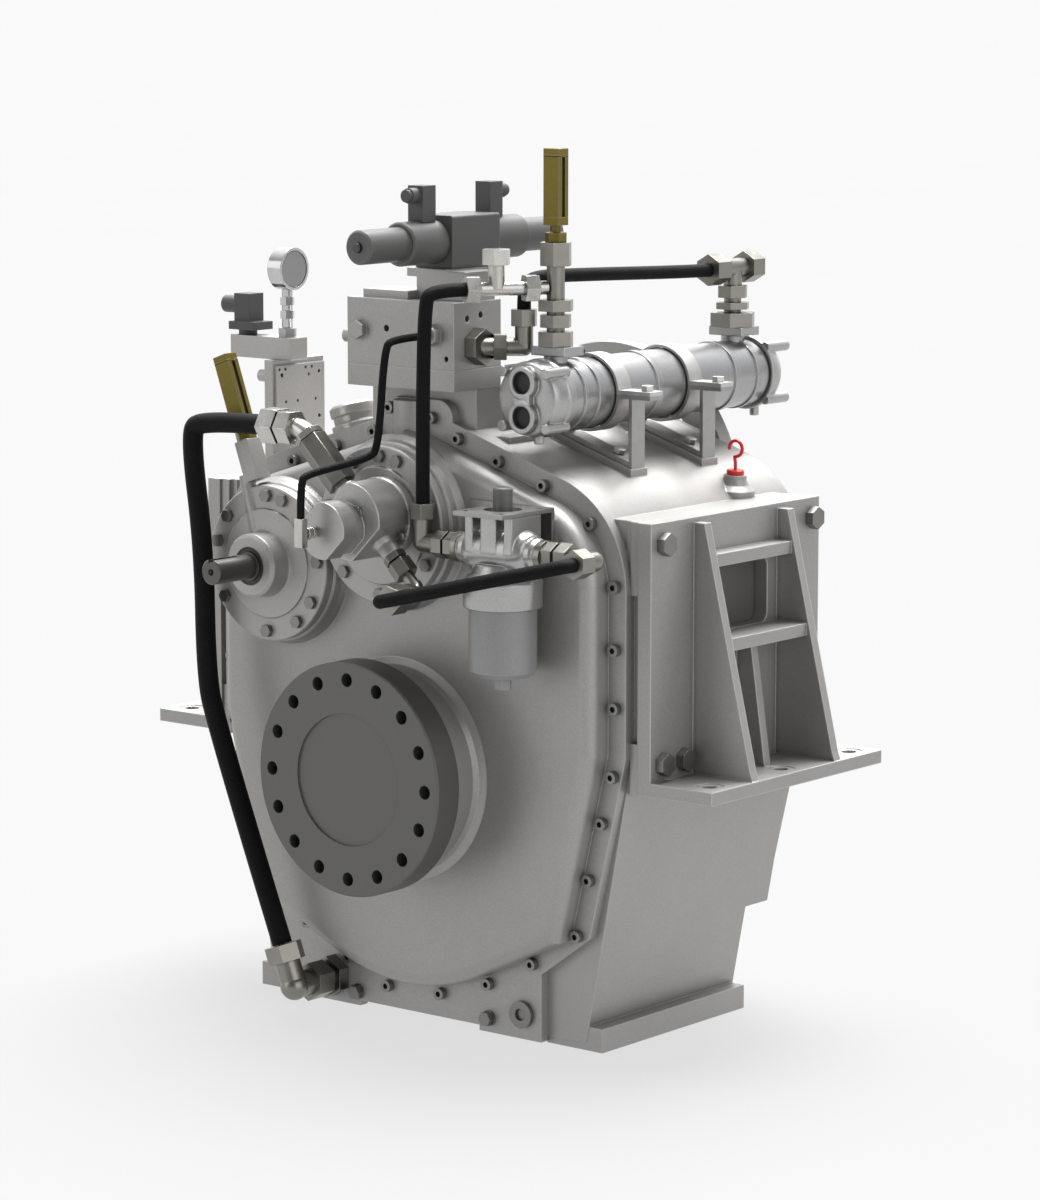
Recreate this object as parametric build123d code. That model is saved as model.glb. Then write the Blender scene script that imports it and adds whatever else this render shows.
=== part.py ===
import math
import os

from build123d import *

# Marine reduction gearbox with hydraulic clutches.
# Frame: the origin is the centre of the output flange's face, +Y runs through the gearbox
# towards the engine, +Z is up and +X is to the right for someone who faces the output flange.

# Gear train
tooth_module = 8.0
bull_teeth = 66
pinion_teeth = 24
transfer_teeth = 29
pressure_angle = 20.0
backlash_angle = 0.8
pump_backlash_angle = 1.8
gear_width = 110.0
drum_width = 105.0

# Output flange
flange_radius = 170.0
flange_thickness = 48.0
flange_edge = 25.0
flange_bolt_count = 16
flange_hole_radius = 10.0
flange_recess_radius = 96.0
flange_recess_depth = 3.0

# Stations along the gearbox, from the output flange's face
collar_front = 56.0
cover_face = 75.0
dome_front = 115.0
rim_front = 157.0
rear_joint = 575.0
sump_rear = 520.0
bull_gear_front = 200.0
drum_front = 345.0

# Outline of the case, seen from the front
shoulder_radius = 161.5
roof_slope = 18.0
knee_z = 52.0
slant_x = 318.0
slant_z = -215.0
block_outer_x = 230.0
block_inner_x = 115.0
block_top_z = -280.0
block_bottom_z = -380.0
case_bottom_z = -372.0
head_half_width = 66.0
head_top_z = 536.0
head_corner_radius = 26.0

# Castings
rim_thickness = 16.0
rim_width = 31.0
case_wall = 16.0
dome_wall = 13.0
dome_fillet = 20.0
dome_corner_z = -222.0
dome_bottom_radius = 323.0
inner_flange_length = 20.0
inner_flange_width = 34.0
rear_rim_thickness = 15.0
rear_dome_length = 22.0
collar_radius = 150.0
boss_radius = 119.0
boss_flare = 9.0
column_radius = 27.0
column_x = -9.5
foot_outer_x = 328.5
foot_inner_x = 228.0
foot_bottom_z = -383.0
foot_height = 35.0
foot_front = 166.0
foot_rear = 516.0
foot_wall_x = 298.0
turret_length = 110.0
turret_top_z = 553.0

# Shafts, bearings and seals
output_shaft_radius = 78.0
output_journal_radius = 85.0
output_bearing_radius = 120.0
bearing_width = 38.0
input_shaft_radius = 36.0
input_bearing_radius = 70.0
input_bearing_width = 30.0
running_clearance = 0.05
seal_width = 10.0
pinion_hub_radius = 62.0
drum_wall = 8.0
plate_pairs = 3
plate_thickness = 6.0
plate_gap = 1.5
pto_shaft_radius = 18.5
pto_shaft_length = 81.0
pto_journal_radius = 21.0
pto_hub_radius = 45.0
pto_hub_length = 40.0
key_width = 10.0
key_depth = 5.0
coupling_radius = 130.0
coupling_thickness = 16.0

# Engine housing flange
bell_radius = 225.4
bell_bore_radius = 204.8
bell_length = 27.0
bell_edge = 11.1
bell_bolt_count = 12
bell_hole_radius = 5.5

# Round covers
cover_radius = 115.0
cover_thickness = 16.0
cover_bolt_radius = 100.0
pto_bolt_angles = (-146, -90, -54, -30, 6, 36, 72, 90, 140, 165)
pump_bolt_angles = (-133, -90, -54, -30, 71, 90, 120, 168)

# Mounting brackets
pad_depth = 16.0
pad_front = 176.0
pad_rear = 560.0
pad_bottom_z = 0.0
pad_top_z = 387.5
bracket_plate = 23.0
bracket_front = 163.0
bracket_rear = 566.0
bracket_reach = 130.0
bracket_flange_rear = 578.0
bracket_flange_top_z = 22.0
bracket_flange_thickness = 19.0
gusset_thickness = 15.0
gusset_fronts = (262.0, 462.0)
gusset_top_z = 380.0
gusset_top_reach = 41.0
gusset_foot_reach = 126.0
mid_gusset_front = 366.0
shelf_tops = (335.0, 218.0)
shelf_thickness = 18.0
bracket_hole_reach = 98.0
bracket_hole_pitch = 170.0
bracket_hole_front = 201.0
bracket_hole_radius = 11.0
bracket_spot_radius = 21.0

# Fasteners
hex_m10 = 17.0
socket_head_radius = 9.0
socket_head_height = 10.0
socket_flats = 8.0

# Gear pump
pump_module = 3.5
pump_teeth = 12
pump_front = -50.0
pump_lobe_radius = 41.0
pump_port_y = 30.0
pump_gear_width = 44.0

# Oil filter
filter_x = 243.0
filter_y = 55.0
filter_port_z = 346.0
filter_bowl_radius = 48.0
filter_bowl_bottom_z = 171.0
filter_collar_z = 268.0
filter_plate_z = 402.0
filter_plate_length = 116.0
filter_plate_width = 88.0

# Oil cooler
cooler_x = 208.0
cooler_z = 548.0
cooler_radius = 52.0
cooler_front = 137.0
cooler_cap_length = 60.0
cooler_rear = 724.0
cooler_port_pitch = 49.0
cooler_port_radius = 12.0
strap_stations = (305.0, 474.0)
strap_width = 30.0
stand_half_width = 77.0
ear_half_width = 112.0
stack_stations = (216.0, 639.0)

# Control valve group
control_half_width = 100.0
control_front = 120.0
control_length = 105.0
control_base_top_z = 584.0
control_top_z = 680.0
valve_x = 29.0
valve_plate_top_z = 724.0
valve_front = 161.0
valve_length = 106.0
valve_width = 70.0
valve_height = 76.0
coil_radius = 31.5
coil_length = 78.0
solenoid_tube_radius = 24.5
solenoid_tube_length = 86.0
button_radius = 7.0

# Gauge group on the left shoulder
gauge_block_x = -296.0
gauge_block_width = 17.0
gauge_block_front = 174.0
gauge_block_length = 112.0
gauge_block_top_z = 571.0
gauge_stem_x = -297.0
gauge_radius = 31.5
gauge_depth = 30.0
gauge_z = 706.0

# Dipstick
dipstick_x = 330.0
dipstick_y = 482.0
dipstick_lean = 0.06
dipstick_boss_top_z = 420.0
dipstick_rod_radius = 4.0
dipstick_bottom_z = -150.0

# Values that follow from the sizes above
centre_distance = tooth_module * (bull_teeth + pinion_teeth) / 2
transfer_distance = tooth_module * transfer_teeth
side_angle = 2 * math.asin(transfer_distance / 2 / centre_distance)
side_x = centre_distance * math.sin(side_angle)
side_z = centre_distance * math.cos(side_angle)
input_z = centre_distance
half_width = side_x + shoulder_radius
front_joint = rim_front + rim_thickness
flange_bolt_circle = 2 * (flange_radius - flange_edge)
bell_bolt_circle = 2 * (bell_radius - bell_edge)
pad_x = half_width + pad_depth
bracket_flange_x = pad_x + bracket_reach
gusset_top_x = pad_x + gusset_top_reach
gusset_foot_x = pad_x + gusset_foot_reach
bracket_hole_x = pad_x + bracket_hole_reach
rear_face = rear_joint + rear_rim_thickness
bell_front = rear_face + rear_dome_length
bell_face = bell_front + bell_length
slope = math.radians(roof_slope)
roof_point = (
    side_x + shoulder_radius * math.sin(slope),
    side_z + shoulder_radius * math.cos(slope),
)
bull_gear_rear = bull_gear_front + gear_width
drum_rear = drum_front + drum_width


def roof_z(x, depth=0.0):
    """Height of the roof slope over x, at a depth under its surface."""
    return roof_point[1] + (roof_point[0] - abs(x)) * math.tan(slope) - depth / math.cos(slope)


def facing(y):
    """Drawing plane across the gearbox, seen from the front."""
    return Plane(origin=(0, y, 0), x_dir=(1, 0, 0), z_dir=(0, -1, 0))


def slab(sketch, front, rear):
    """Extrudes a front view between two stations."""
    return extrude(facing(rear) * sketch, amount=rear - front)


def disc(x, z, radius, front, rear):
    """Round bar along the gearbox."""
    return slab(Pos(x, z) * Circle(radius), front, rear)


def ring(x, z, outer, inner, front, rear):
    """Round tube along the gearbox."""
    return slab(Pos(x, z) * (Circle(outer) - Circle(inner)), front, rear)


def block(x_range, y_range, z_range):
    """Rectangular block between three pairs of limits."""
    middle = [(low + high) / 2 for low, high in (x_range, y_range, z_range)]
    size = [high - low for low, high in (x_range, y_range, z_range)]
    return Pos(*middle) * Box(*size)


def towards(origin, direction):
    """Frame with its Z along a direction."""
    return Plane(origin=origin, z_dir=direction)


def rod(origin, direction, radius, length):
    """Round bar from a point along a direction."""
    return extrude(towards(origin, direction) * Circle(radius), amount=length)


def hex_bar(origin, direction, across_flats, length):
    """Hexagonal bar from a point along a direction."""
    outline = RegularPolygon(across_flats / 2, 6, major_radius=False)
    return extrude(towards(origin, direction) * outline, amount=length)


def turned(origin, direction, profile):
    """Turned piece: the profile lists radius and height along its axis."""
    half = make_face(Polyline(*profile, close=True))
    piece = revolve(Plane.XZ * half, Axis.Z)
    return towards(origin, direction) * piece


def shift(point, direction, distance):
    """Point moved along a direction."""
    step = Vector(*direction).normalized() * distance
    return (point[0] + step.X, point[1] + step.Y, point[2] + step.Z)


def mirrored(shape):
    return mirror(shape, Plane.YZ)


def inset_corner(before, corner, after, distance):
    """Corner of a clockwise outline after its two edges move inwards."""
    normals = []
    for start, end in ((before, corner), (corner, after)):
        run = Vector(end[0] - start[0], end[1] - start[1]).normalized()
        normals.append(Vector(run.Y, -run.X))
    total = normals[0] + normals[1]
    step = total * (distance / (1 + normals[0].dot(normals[1])))
    return (corner[0] + step.X, corner[1] + step.Y)


def shell_outline(distance, lower_points):
    """Symmetric front view: sloping roof, round shoulders and the given lower right corners."""
    radius = shoulder_radius - distance
    start = (side_x + radius * math.sin(slope), side_z + radius * math.cos(slope))
    middle_angle = (math.pi / 2 - slope) / 2
    middle = (side_x + radius * math.cos(middle_angle), side_z + radius * math.sin(middle_angle))
    end = (side_x + radius, side_z)
    ridge = (0, roof_z(0, distance))
    lines = [
        Line(ridge, start),
        ThreePointArc(start, middle, end),
        Polyline(end, *lower_points),
        Line(lower_points[-1], ridge),
    ]
    half = make_face(Wire(Curve(children=lines).edges()))
    return half + mirrored(half)


def slant_corners(distance):
    """Knee and lower corner of the slanted side."""
    knee = inset_corner((half_width, side_z), (half_width, knee_z), (slant_x, slant_z), distance)
    corner = inset_corner((half_width, knee_z), (slant_x, slant_z), (block_outer_x, block_top_z), distance)
    return knee, corner


def rim_outline():
    """Bolted rim of the front cover, with the two drain blocks at its foot."""
    knee, corner = slant_corners(0)
    lower = [
        knee,
        corner,
        (block_outer_x, block_top_z),
        (block_outer_x, block_bottom_z),
        (block_inner_x, block_bottom_z),
        (block_inner_x, case_bottom_z),
        (0, case_bottom_z),
    ]
    return shell_outline(0, lower) + head_outline()


def rear_outline():
    """Bolted rim of the rear cover: it ends above the sump."""
    knee, corner = slant_corners(0)
    return shell_outline(0, [knee, corner, (block_outer_x, block_top_z), (0, block_top_z)])


def head_outline():
    """Raised head of the rim over the input shaft."""
    low = input_z
    body = Pos(0, (low + head_top_z) / 2) * Rectangle(2 * head_half_width, head_top_z - low)
    return fillet(body.vertices().group_by(Axis.Y)[-1], head_corner_radius)


def dome_outline(distance):
    """Raised part of the front cover: its foot is an arc round the output shaft."""
    knee = inset_corner((half_width, side_z), (half_width, knee_z), (slant_x, slant_z), distance)
    run = ((slant_x - half_width) / (slant_z - knee_z))
    corner = (knee[0] + run * (dome_corner_z - knee[1]), dome_corner_z)
    radius = dome_bottom_radius - distance + rim_width
    reach = math.hypot(*corner)
    turn = math.atan2(corner[1], corner[0]) - math.acos(min(1, radius / reach))
    tangent = (radius * math.cos(turn), radius * math.sin(turn))
    middle_turn = (turn - math.pi / 2) / 2
    middle = (radius * math.cos(middle_turn), radius * math.sin(middle_turn))
    shoulder = shoulder_radius - distance
    start = (side_x + shoulder * math.sin(slope), side_z + shoulder * math.cos(slope))
    middle_angle = (math.pi / 2 - slope) / 2
    shoulder_middle = (
        side_x + shoulder * math.cos(middle_angle),
        side_z + shoulder * math.sin(middle_angle),
    )
    ridge = (0, roof_z(0, distance))
    lines = [
        Line(ridge, start),
        ThreePointArc(start, shoulder_middle, (side_x + shoulder, side_z)),
        Polyline((side_x + shoulder, side_z), knee, corner, tangent),
        ThreePointArc(tangent, middle, (0, -radius)),
        Line((0, -radius), ridge),
    ]
    half = make_face(Wire(Curve(children=lines).edges()))
    return half + mirrored(half)


def case_outline(distance):
    """Main case: its sides slant down to the feet."""
    knee = inset_corner((half_width, side_z), (half_width, knee_z), (foot_wall_x, foot_bottom_z), distance)
    bottom = case_bottom_z + distance
    run = (foot_wall_x - half_width) / (foot_bottom_z - knee_z)
    return shell_outline(distance, [knee, (knee[0] + run * (bottom - knee[1]), bottom), (0, bottom)])


def gear_outline(module, teeth, turn=0.0, play=backlash_angle):
    """Straight-cut gear with two flats for each flank, as many teeth as it has."""
    pitch = module * teeth / 2
    tip = pitch + module
    root = pitch - 1.25 * module
    half_tooth = math.pi / 2 / teeth - math.radians(play) * 12 / teeth
    taper = math.tan(math.radians(pressure_angle))
    tip_half = half_tooth - module * taper / pitch
    root_half = half_tooth + 1.25 * module * taper / pitch
    points = []
    for tooth in range(teeth):
        angle = math.radians(turn) + 2 * math.pi * tooth / teeth
        for radius, offset in ((root, -root_half), (pitch, -half_tooth), (tip, -tip_half),
                               (tip, tip_half), (pitch, half_tooth), (root, root_half)):
            points.append((radius * math.cos(angle + offset), radius * math.sin(angle + offset)))
    return make_face(Polyline(*points, close=True))


def mesh_turn(direction, teeth, follower_teeth, turn):
    """Turn that puts a follower's tooth into the driver's gap along the line of centres."""
    pitch = 360 / teeth
    gap = turn + pitch * (math.floor((direction - turn) / pitch) + 0.5)
    return direction + 180 - (gap - direction) * teeth / follower_teeth


def gear(module, teeth, x, z, bore, front, rear, turn=0.0, play=backlash_angle):
    """Gear on an axis along the gearbox."""
    outline = gear_outline(module, teeth, turn, play)
    if bore:
        outline = outline - Circle(bore)
    return slab(Pos(x, z) * outline, front, rear)


def shaft(x, z, profile):
    """Turned shaft along the gearbox: the profile lists radius and station."""
    return turned((x, 0, z), (0, 1, 0), profile)


def save(shape, node):
    export_step(shape, f"parts/{node}.step")
    print(node, len(shape.solids()), round(shape.volume))


# Positions shared by the covers, the shafts and the castings
astern_x = -side_x
astern_z = side_z
pump_drive = (0, input_z)
pump_step = pump_module * pump_teeth / math.sqrt(2)
pump_driven = (pump_step, input_z + pump_step)
pump_middle = (pump_step / 2, input_z + pump_step / 2)
dipstick_line = (dipstick_lean, 0, 1)
dipstick_seat = (dipstick_x, dipstick_y, dipstick_boss_top_z)
transfer_angle = math.degrees(math.atan2(astern_z - input_z, astern_x))
rim_screws_right = (
    (364, 295), (364, 206), (365, 123), (361, 25), (342, -44), (319, -129), (298, -213),
    (236, 428), (321, 381), (154, 456), (79, 483), (216, -266), (134, -308),
)
rim_screws_middle = ((-48, 520), (30, 510), (44, -336), (-58, -340))


def main_casing():
    """Cast case: hollow body, feet, side pads, roof turret and rails."""
    body = slab(case_outline(0), front_joint, rear_joint)
    body = body - block((-400, 400), (sump_rear, rear_joint + 1), (-400, slant_z - 15))
    for side in (1, -1):
        pad = block((320, pad_x), (pad_front, pad_rear), (pad_bottom_z, pad_top_z))
        lug_top = block((370, pad_x), (pad_front - 9, pad_front), (284, pad_top_z))
        lug_foot = block((370, pad_x), (pad_front - 9, pad_front), (pad_bottom_z, 74))
        lug_top = lug_top - block((0, half_width), (0, front_joint), (0, 400))
        lug_foot = lug_foot - block((0, half_width), (0, front_joint), (0, 400))
        foot = block((foot_inner_x, foot_outer_x), (foot_front + 8, foot_rear),
            (foot_bottom_z, foot_bottom_z + foot_height))
        extra = pad + lug_top + lug_foot + foot
        body = body + (extra if side == 1 else mirrored(extra))
    turret_half = 98.0
    body = body + block((-turret_half, turret_half), (front_joint, front_joint + turret_length),
        (440, turret_top_z))
    body = body + block((112, 150), (186, 248), (440, 487))
    for station in strap_stations:
        rail = make_face(
            Polyline((112, roof_z(112, -9)), (290, roof_z(290, -9)), (290, 380), (112, 440), close=True))
        body = body + slab(rail, station - 19, station + 19)
    body = body + turned(dipstick_seat, dipstick_line, [
        (0, -50), (30, -50), (30, -22), (21, -14), (17, -6), (17, 0), (0, 0),
    ])
    room = slab(case_outline(case_wall), front_joint + inner_flange_length,
        rear_joint - inner_flange_length)
    room = room - block((-400, 400), (sump_rear - case_wall, rear_joint), (-400, slant_z - 15 + case_wall))
    room = room + slab(dome_outline(inner_flange_width), front_joint - 1,
        front_joint + inner_flange_length + 1)
    rear_room = slab(case_outline(inner_flange_width), rear_joint - inner_flange_length - 1, rear_joint + 1)
    rear_room = rear_room - block((-400, 400), (400, rear_joint + 2),
        (-400, slant_z - 15 + inner_flange_width))
    body = body - room - rear_room
    body = body - rod(shift(dipstick_seat, dipstick_line, -90), dipstick_line, dipstick_rod_radius + 1, 91)
    return body


def front_cover():
    """Front cover: bolted rim, dome, output collar, two round bosses and a column."""
    dome = slab(dome_outline(rim_width), dome_front, rim_front + 8)
    front_edges = dome.edges().group_by(Axis.Y)[0]
    dome = fillet(front_edges, dome_fillet)
    body = dome + slab(rim_outline(), rim_front, front_joint)
    body = body + shaft(0, 0, [
        (0, collar_front), (collar_radius - 4, collar_front), (collar_radius, collar_front + 4),
        (collar_radius, dome_front - 14), (collar_radius + 4, dome_front - 6),
        (collar_radius + 14, dome_front),
        (collar_radius + 14, dome_front + 5), (0, dome_front + 5),
    ])
    for x, z, radius, flare in ((0, input_z, boss_radius, boss_flare),
        (astern_x, astern_z, boss_radius - 1, boss_flare - 3)):
        body = body + shaft(x, z, [
            (0, cover_face + cover_thickness), (radius - 3, cover_face + cover_thickness),
            (radius, cover_face + cover_thickness + 3), (radius + 2, dome_front - 9),
            (radius + flare, dome_front), (radius + flare, dome_front + 22), (0, dome_front + 22),
        ])
    column = Pos(column_x, rim_front, 440) * Cylinder(column_radius, 94,
        align=(Align.CENTER, Align.CENTER, Align.MIN))
    body = body + (column - block((-100, 100), (rim_front + 8, rim_front + 100), (400, 600)))
    room = slab(dome_outline(rim_width + dome_wall), dome_front + dome_wall, front_joint + 1)
    body = body - room
    body = body + disc(0, 0, collar_radius - 5, dome_front + 2, 150)
    body = body - disc(0, 0, output_bearing_radius, collar_front + 28, 151)
    body = body - disc(0, 0, output_journal_radius + 17, collar_front - 1, collar_front + 29)
    for x, z in ((0, input_z), (astern_x, astern_z)):
        body = body + disc(x, z, input_bearing_radius + 18, dome_front + 2, 142)
        body = body - disc(x, z, input_bearing_radius, cover_face + cover_thickness + 14, 143)
        body = body - disc(x, z, 54, cover_face + cover_thickness - 1, 143)
    return body


def rear_cover():
    """Rear cover: bolted rim and shallow dome with two bearing seats and a round opening."""
    dome = slab(dome_outline(rim_width) - block_below_sump(), rear_face - 6, bell_front)
    body = dome + slab(rear_outline(), rear_joint, rear_face)
    room = slab(dome_outline(rim_width + 16) - block_below_sump(16), rear_joint - 1, bell_front - 12)
    body = body - room
    body = body + disc(0, 0, output_bearing_radius + 24, 548, bell_front)
    body = body - disc(0, 0, output_bearing_radius, 547, 548 + bearing_width)
    for x, z in ((0, input_z), (astern_x, astern_z)):
        body = body + disc(x, z, input_bearing_radius + 18, 560, bell_front)
        body = body - disc(x, z, input_bearing_radius, 559, 560 + input_bearing_width)
    body = body - disc(0, input_z, 54, 559, bell_front + 1)
    return body


def block_below_sump(distance=0):
    """Part of a front view that the sump's rear wall leaves out."""
    return Pos(0, slant_z + 9 + distance - 200) * Rectangle(900, 400)


def bell_housing():
    """Ring that carries the engine's housing, with its foot web on the rear cover."""
    body = ring(0, input_z, bell_radius, bell_bore_radius, bell_front + 4, bell_face)
    body = body + ring(0, input_z, bell_radius, 178, bell_front, bell_face - 6)
    for side in (1, -1):
        rib = make_face(Polyline((178, input_z), (bell_radius - 6, input_z),
            (bell_radius - 6, input_z - 60), (178, input_z - 60), close=True))
        body = body + (slab(rib, bell_front,
            bell_face - 6) if side == 1 else mirrored(slab(rib, bell_front, bell_face - 6)))
    body = body - disc(0, input_z, bell_bore_radius, bell_face - 6, bell_face + 1)
    for count in range(bell_bolt_count):
        angle = math.radians(15 + 360 / bell_bolt_count * count)
        x = bell_bolt_circle / 2 * math.cos(angle)
        z = input_z + bell_bolt_circle / 2 * math.sin(angle)
        body = body - disc(x, z, bell_hole_radius, bell_front - 1, bell_face + 1)
    return body


def bracket():
    """Right mounting bracket: bolted plate, foot flange, gussets and shelves."""
    plate_x = pad_x + bracket_plate
    body = block((pad_x, plate_x), (bracket_front, bracket_rear), (3, pad_top_z))
    flange_bottom = bracket_flange_top_z - bracket_flange_thickness
    flange = block((pad_x, bracket_flange_x), (bracket_front, bracket_flange_rear),
        (flange_bottom, bracket_flange_top_z))
    body = body + flange
    run = (gusset_foot_x - gusset_top_x) / (gusset_top_z - bracket_flange_top_z)
    for front in gusset_fronts:
        side = Polyline(
            (plate_x - 2, gusset_top_z), (gusset_top_x, gusset_top_z), (gusset_foot_x - 3, 36),
            (gusset_foot_x + 2, bracket_flange_top_z), (gusset_foot_x + 2, bracket_flange_top_z - 5),
            (plate_x - 2, bracket_flange_top_z - 5), close=True,
        )
        body = body + slab(make_face(side), front, front + gusset_thickness)
    rear = gusset_fronts[1]
    front = gusset_fronts[0]
    for top in shelf_tops:
        reach = gusset_top_x + run * (gusset_top_z - top) - 3
        body = body + block((plate_x - 2, reach), (front + 2, rear + 2), (top - shelf_thickness, top))
    middle = make_face(Polyline(
        (plate_x - 2, shelf_tops[1] - 5), (plate_x + 22, shelf_tops[1] - 5),
        (plate_x + 51, bracket_flange_top_z - 5),
        (plate_x - 2, bracket_flange_top_z - 5), close=True,
    ))
    body = body + slab(middle, mid_gusset_front, mid_gusset_front + gusset_thickness)
    window = Pos(0, 0, 266) * Box(200, 138, 94)
    window = fillet(window.edges().filter_by(Axis.X), 14)
    body = body - Pos(plate_x - 10, (front + rear + gusset_thickness) / 2, 0) * window
    body = body + block((plate_x - 2, gusset_top_x + 7), (front + 2, rear + 2),
        (shelf_tops[0] - shelf_thickness, shelf_tops[0]))
    for count in range(3):
        y = bracket_hole_front + bracket_hole_pitch * count
        body = body - rod((bracket_hole_x, y, flange_bottom - 1), (0, 0, 1), bracket_hole_radius, 40)
        body = body - rod((bracket_hole_x, y, bracket_flange_top_z - 1), (0, 0, 1), bracket_spot_radius, 10)
    for y, z in bracket_bolt_places():
        body = body - rod((pad_x - 1, y, z), (1, 0, 0), 8.0, bracket_plate + 2)
    return body


def bracket_bolt_places():
    """Bolts of one bracket: two at each upper corner pair, four low down."""
    return ((191, 357), (547, 358), (190, 46), (238, 46), (500, 46), (547, 46))


def bracket_bolts():
    """Hex bolts that hold both brackets: heads outside, shanks into the pads."""
    bolts = []
    for y, z in bracket_bolt_places():
        start = (pad_x + bracket_plate, y, z)
        bolt = hex_bar(start, (1, 0, 0), 29, 13) + rod((pad_x, y, z), (1, 0, 0), 8.0, bracket_plate + 1)
        bolts.append(bolt)
        bolts.append(mirrored(bolt))
    return Compound(bolts)


def socket_screw(x, z):
    """Socket screw of the rim: the head stands on the rim's face."""
    head = disc(x, z, socket_head_radius, rim_front - socket_head_height, rim_front)
    recess = slab(Pos(x, z) * RegularPolygon(socket_flats / 2, 6, major_radius=False),
        rim_front - socket_head_height - 1, rim_front - 4)
    return head - recess


def rim_screws():
    """Socket screws round the front rim, all alike."""
    screws = []
    for x, z in rim_screws_right:
        screws.append(socket_screw(x, z))
        screws.append(socket_screw(-x, z))
    for x, z in rim_screws_middle:
        screws.append(socket_screw(x, z))
    return Compound(screws)


def drain_plugs():
    """Socket plug and hex plug in the right drain block, and one plug in the left block."""
    plugs = []
    socket = ring(196, -343, 20, 9, rim_front - 7, rim_front)
    socket = socket + disc(196, -343, 15, rim_front - 2.5, rim_front)
    plugs.append(socket)
    for x in (133, -120):
        plugs.append(disc(x, -359, 12, rim_front - 2, rim_front) + slab(
            Pos(x, -359) * RegularPolygon(9.5, 6, major_radius=False), rim_front - 12, rim_front - 2))
    return Compound(plugs)


def round_cover(x, z, bore):
    """Turned cover with a raised middle step."""
    return shaft(x, z, [
        (bore, cover_face - 4), (84, cover_face - 4), (86, cover_face), (cover_radius - 2, cover_face),
        (cover_radius, cover_face + 2), (cover_radius, cover_face + cover_thickness),
        (bore, cover_face + cover_thickness),
    ])


pocket_direction = (-0.276, 0, 0.961)


def pto_cover():
    """Cover of the astern shaft: hub round the power take-off shaft, rib and square pocket."""
    body = round_cover(astern_x, astern_z, pto_hub_radius - 6)
    body = body + shaft(astern_x, astern_z, [
        (28, cover_face - pto_hub_length), (pto_hub_radius - 2, cover_face - pto_hub_length),
        (pto_hub_radius, cover_face - pto_hub_length + 2), (pto_hub_radius, cover_face - 9),
        (pto_hub_radius + 5, cover_face - 4), (pto_hub_radius + 5, cover_face + 6), (28, cover_face + 6),
    ])
    centre = (astern_x, cover_face + 5, astern_z)
    body = body + rod(shift(centre, pocket_direction, 48), pocket_direction, 11, 92)
    middle = (astern_x, cover_face + 39, astern_z)
    frame = Plane(origin=shift(middle, pocket_direction, 134), z_dir=pocket_direction, x_dir=(0, 1, 0))
    return body + frame * Box(64, 38, 48, align=(Align.CENTER, Align.CENTER, Align.MIN))


def pump_cover():
    """Cover between the case and the oil pump, with a sensor rib."""
    body = round_cover(0, input_z, 30)
    direction = (-0.8, 0, 0.6)
    body = body + rod((-40, cover_face + 5, input_z + 30), direction, 10, 78)
    body = body + hex_bar((-100.8, cover_face + 5, input_z + 75.6), direction, 24, 16)
    return body


def cover_bolts():
    """Hex bolts of the two round covers, all alike."""
    bolts = []
    for x, z, angles in ((0, input_z, pump_bolt_angles), (astern_x, astern_z, pto_bolt_angles)):
        for angle in angles:
            turn = math.radians(angle)
            place = Pos(x + cover_bolt_radius * math.cos(turn), z + cover_bolt_radius * math.sin(turn))
            bolts.append(slab(place * RegularPolygon(hex_m10 / 2, 6, major_radius=False),
                cover_face - 7, cover_face))
    return Compound(bolts)


def shaft_seals():
    """Lip seals at the output journal and at the power take-off shaft."""
    gap = 0.35
    seals = [
        ring(0, 0, output_journal_radius + 17, output_journal_radius + gap, collar_front + 4,
            collar_front + 4 + seal_width),
        ring(astern_x, astern_z, 28, pto_journal_radius + gap, cover_face - pto_hub_length + 2,
            cover_face - pto_hub_length + 10),
    ]
    return Compound(seals)


def shaft_bearings():
    """Bearings of the output shaft and of the two clutch shafts, as plain rings."""
    journal = output_journal_radius + running_clearance
    inner = input_shaft_radius + running_clearance
    rear_journal = output_shaft_radius + running_clearance
    bearings = [
        ring(0, 0, output_bearing_radius, journal, collar_front + 28, collar_front + 28 + bearing_width),
        ring(0, 0, output_bearing_radius, rear_journal, 548, 548 + bearing_width),
    ]
    for x, z in ((0, input_z), (astern_x, astern_z)):
        front = cover_face + cover_thickness + 14
        bearings.append(ring(x, z, input_bearing_radius, inner, front, front + input_bearing_width))
        bearings.append(ring(x, z, input_bearing_radius, inner, 560, 560 + input_bearing_width))
    return Compound(bearings)


def output_shaft():
    """Output shaft forged with its flange: ring of bolt holes and a shallow recess."""
    body = shaft(0, 0, [
        (0, 0), (flange_radius - 2, 0), (flange_radius, 2), (flange_radius, flange_thickness - 2),
        (flange_radius - 2, flange_thickness), (output_journal_radius + 6, flange_thickness),
        (output_journal_radius, flange_thickness + 6), (output_journal_radius, bull_gear_front - 10),
        (output_shaft_radius, bull_gear_front - 10), (output_shaft_radius, 584),
        (output_shaft_radius - 2, 586), (0, 586),
    ])
    body = body - disc(0, 0, flange_recess_radius, -1, flange_recess_depth)
    for count in range(flange_bolt_count):
        angle = 2 * math.pi * count / flange_bolt_count
        x = flange_bolt_circle / 2 * math.cos(angle)
        z = flange_bolt_circle / 2 * math.sin(angle)
        body = body - disc(x, z, flange_hole_radius, -1, flange_thickness + 1)
    return body


def bull_gear():
    """Bull gear on the output shaft, with a thinner web."""
    body = gear(tooth_module, bull_teeth, 0, 0, output_shaft_radius, bull_gear_front, bull_gear_rear)
    rim_inner = tooth_module * bull_teeth / 2 - 36
    for front, rear in ((bull_gear_front - 1, bull_gear_front + 36),
        (bull_gear_rear - 36, bull_gear_rear + 1)):
        body = body - ring(0, 0, rim_inner, 118, front, rear)
    return body


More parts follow.
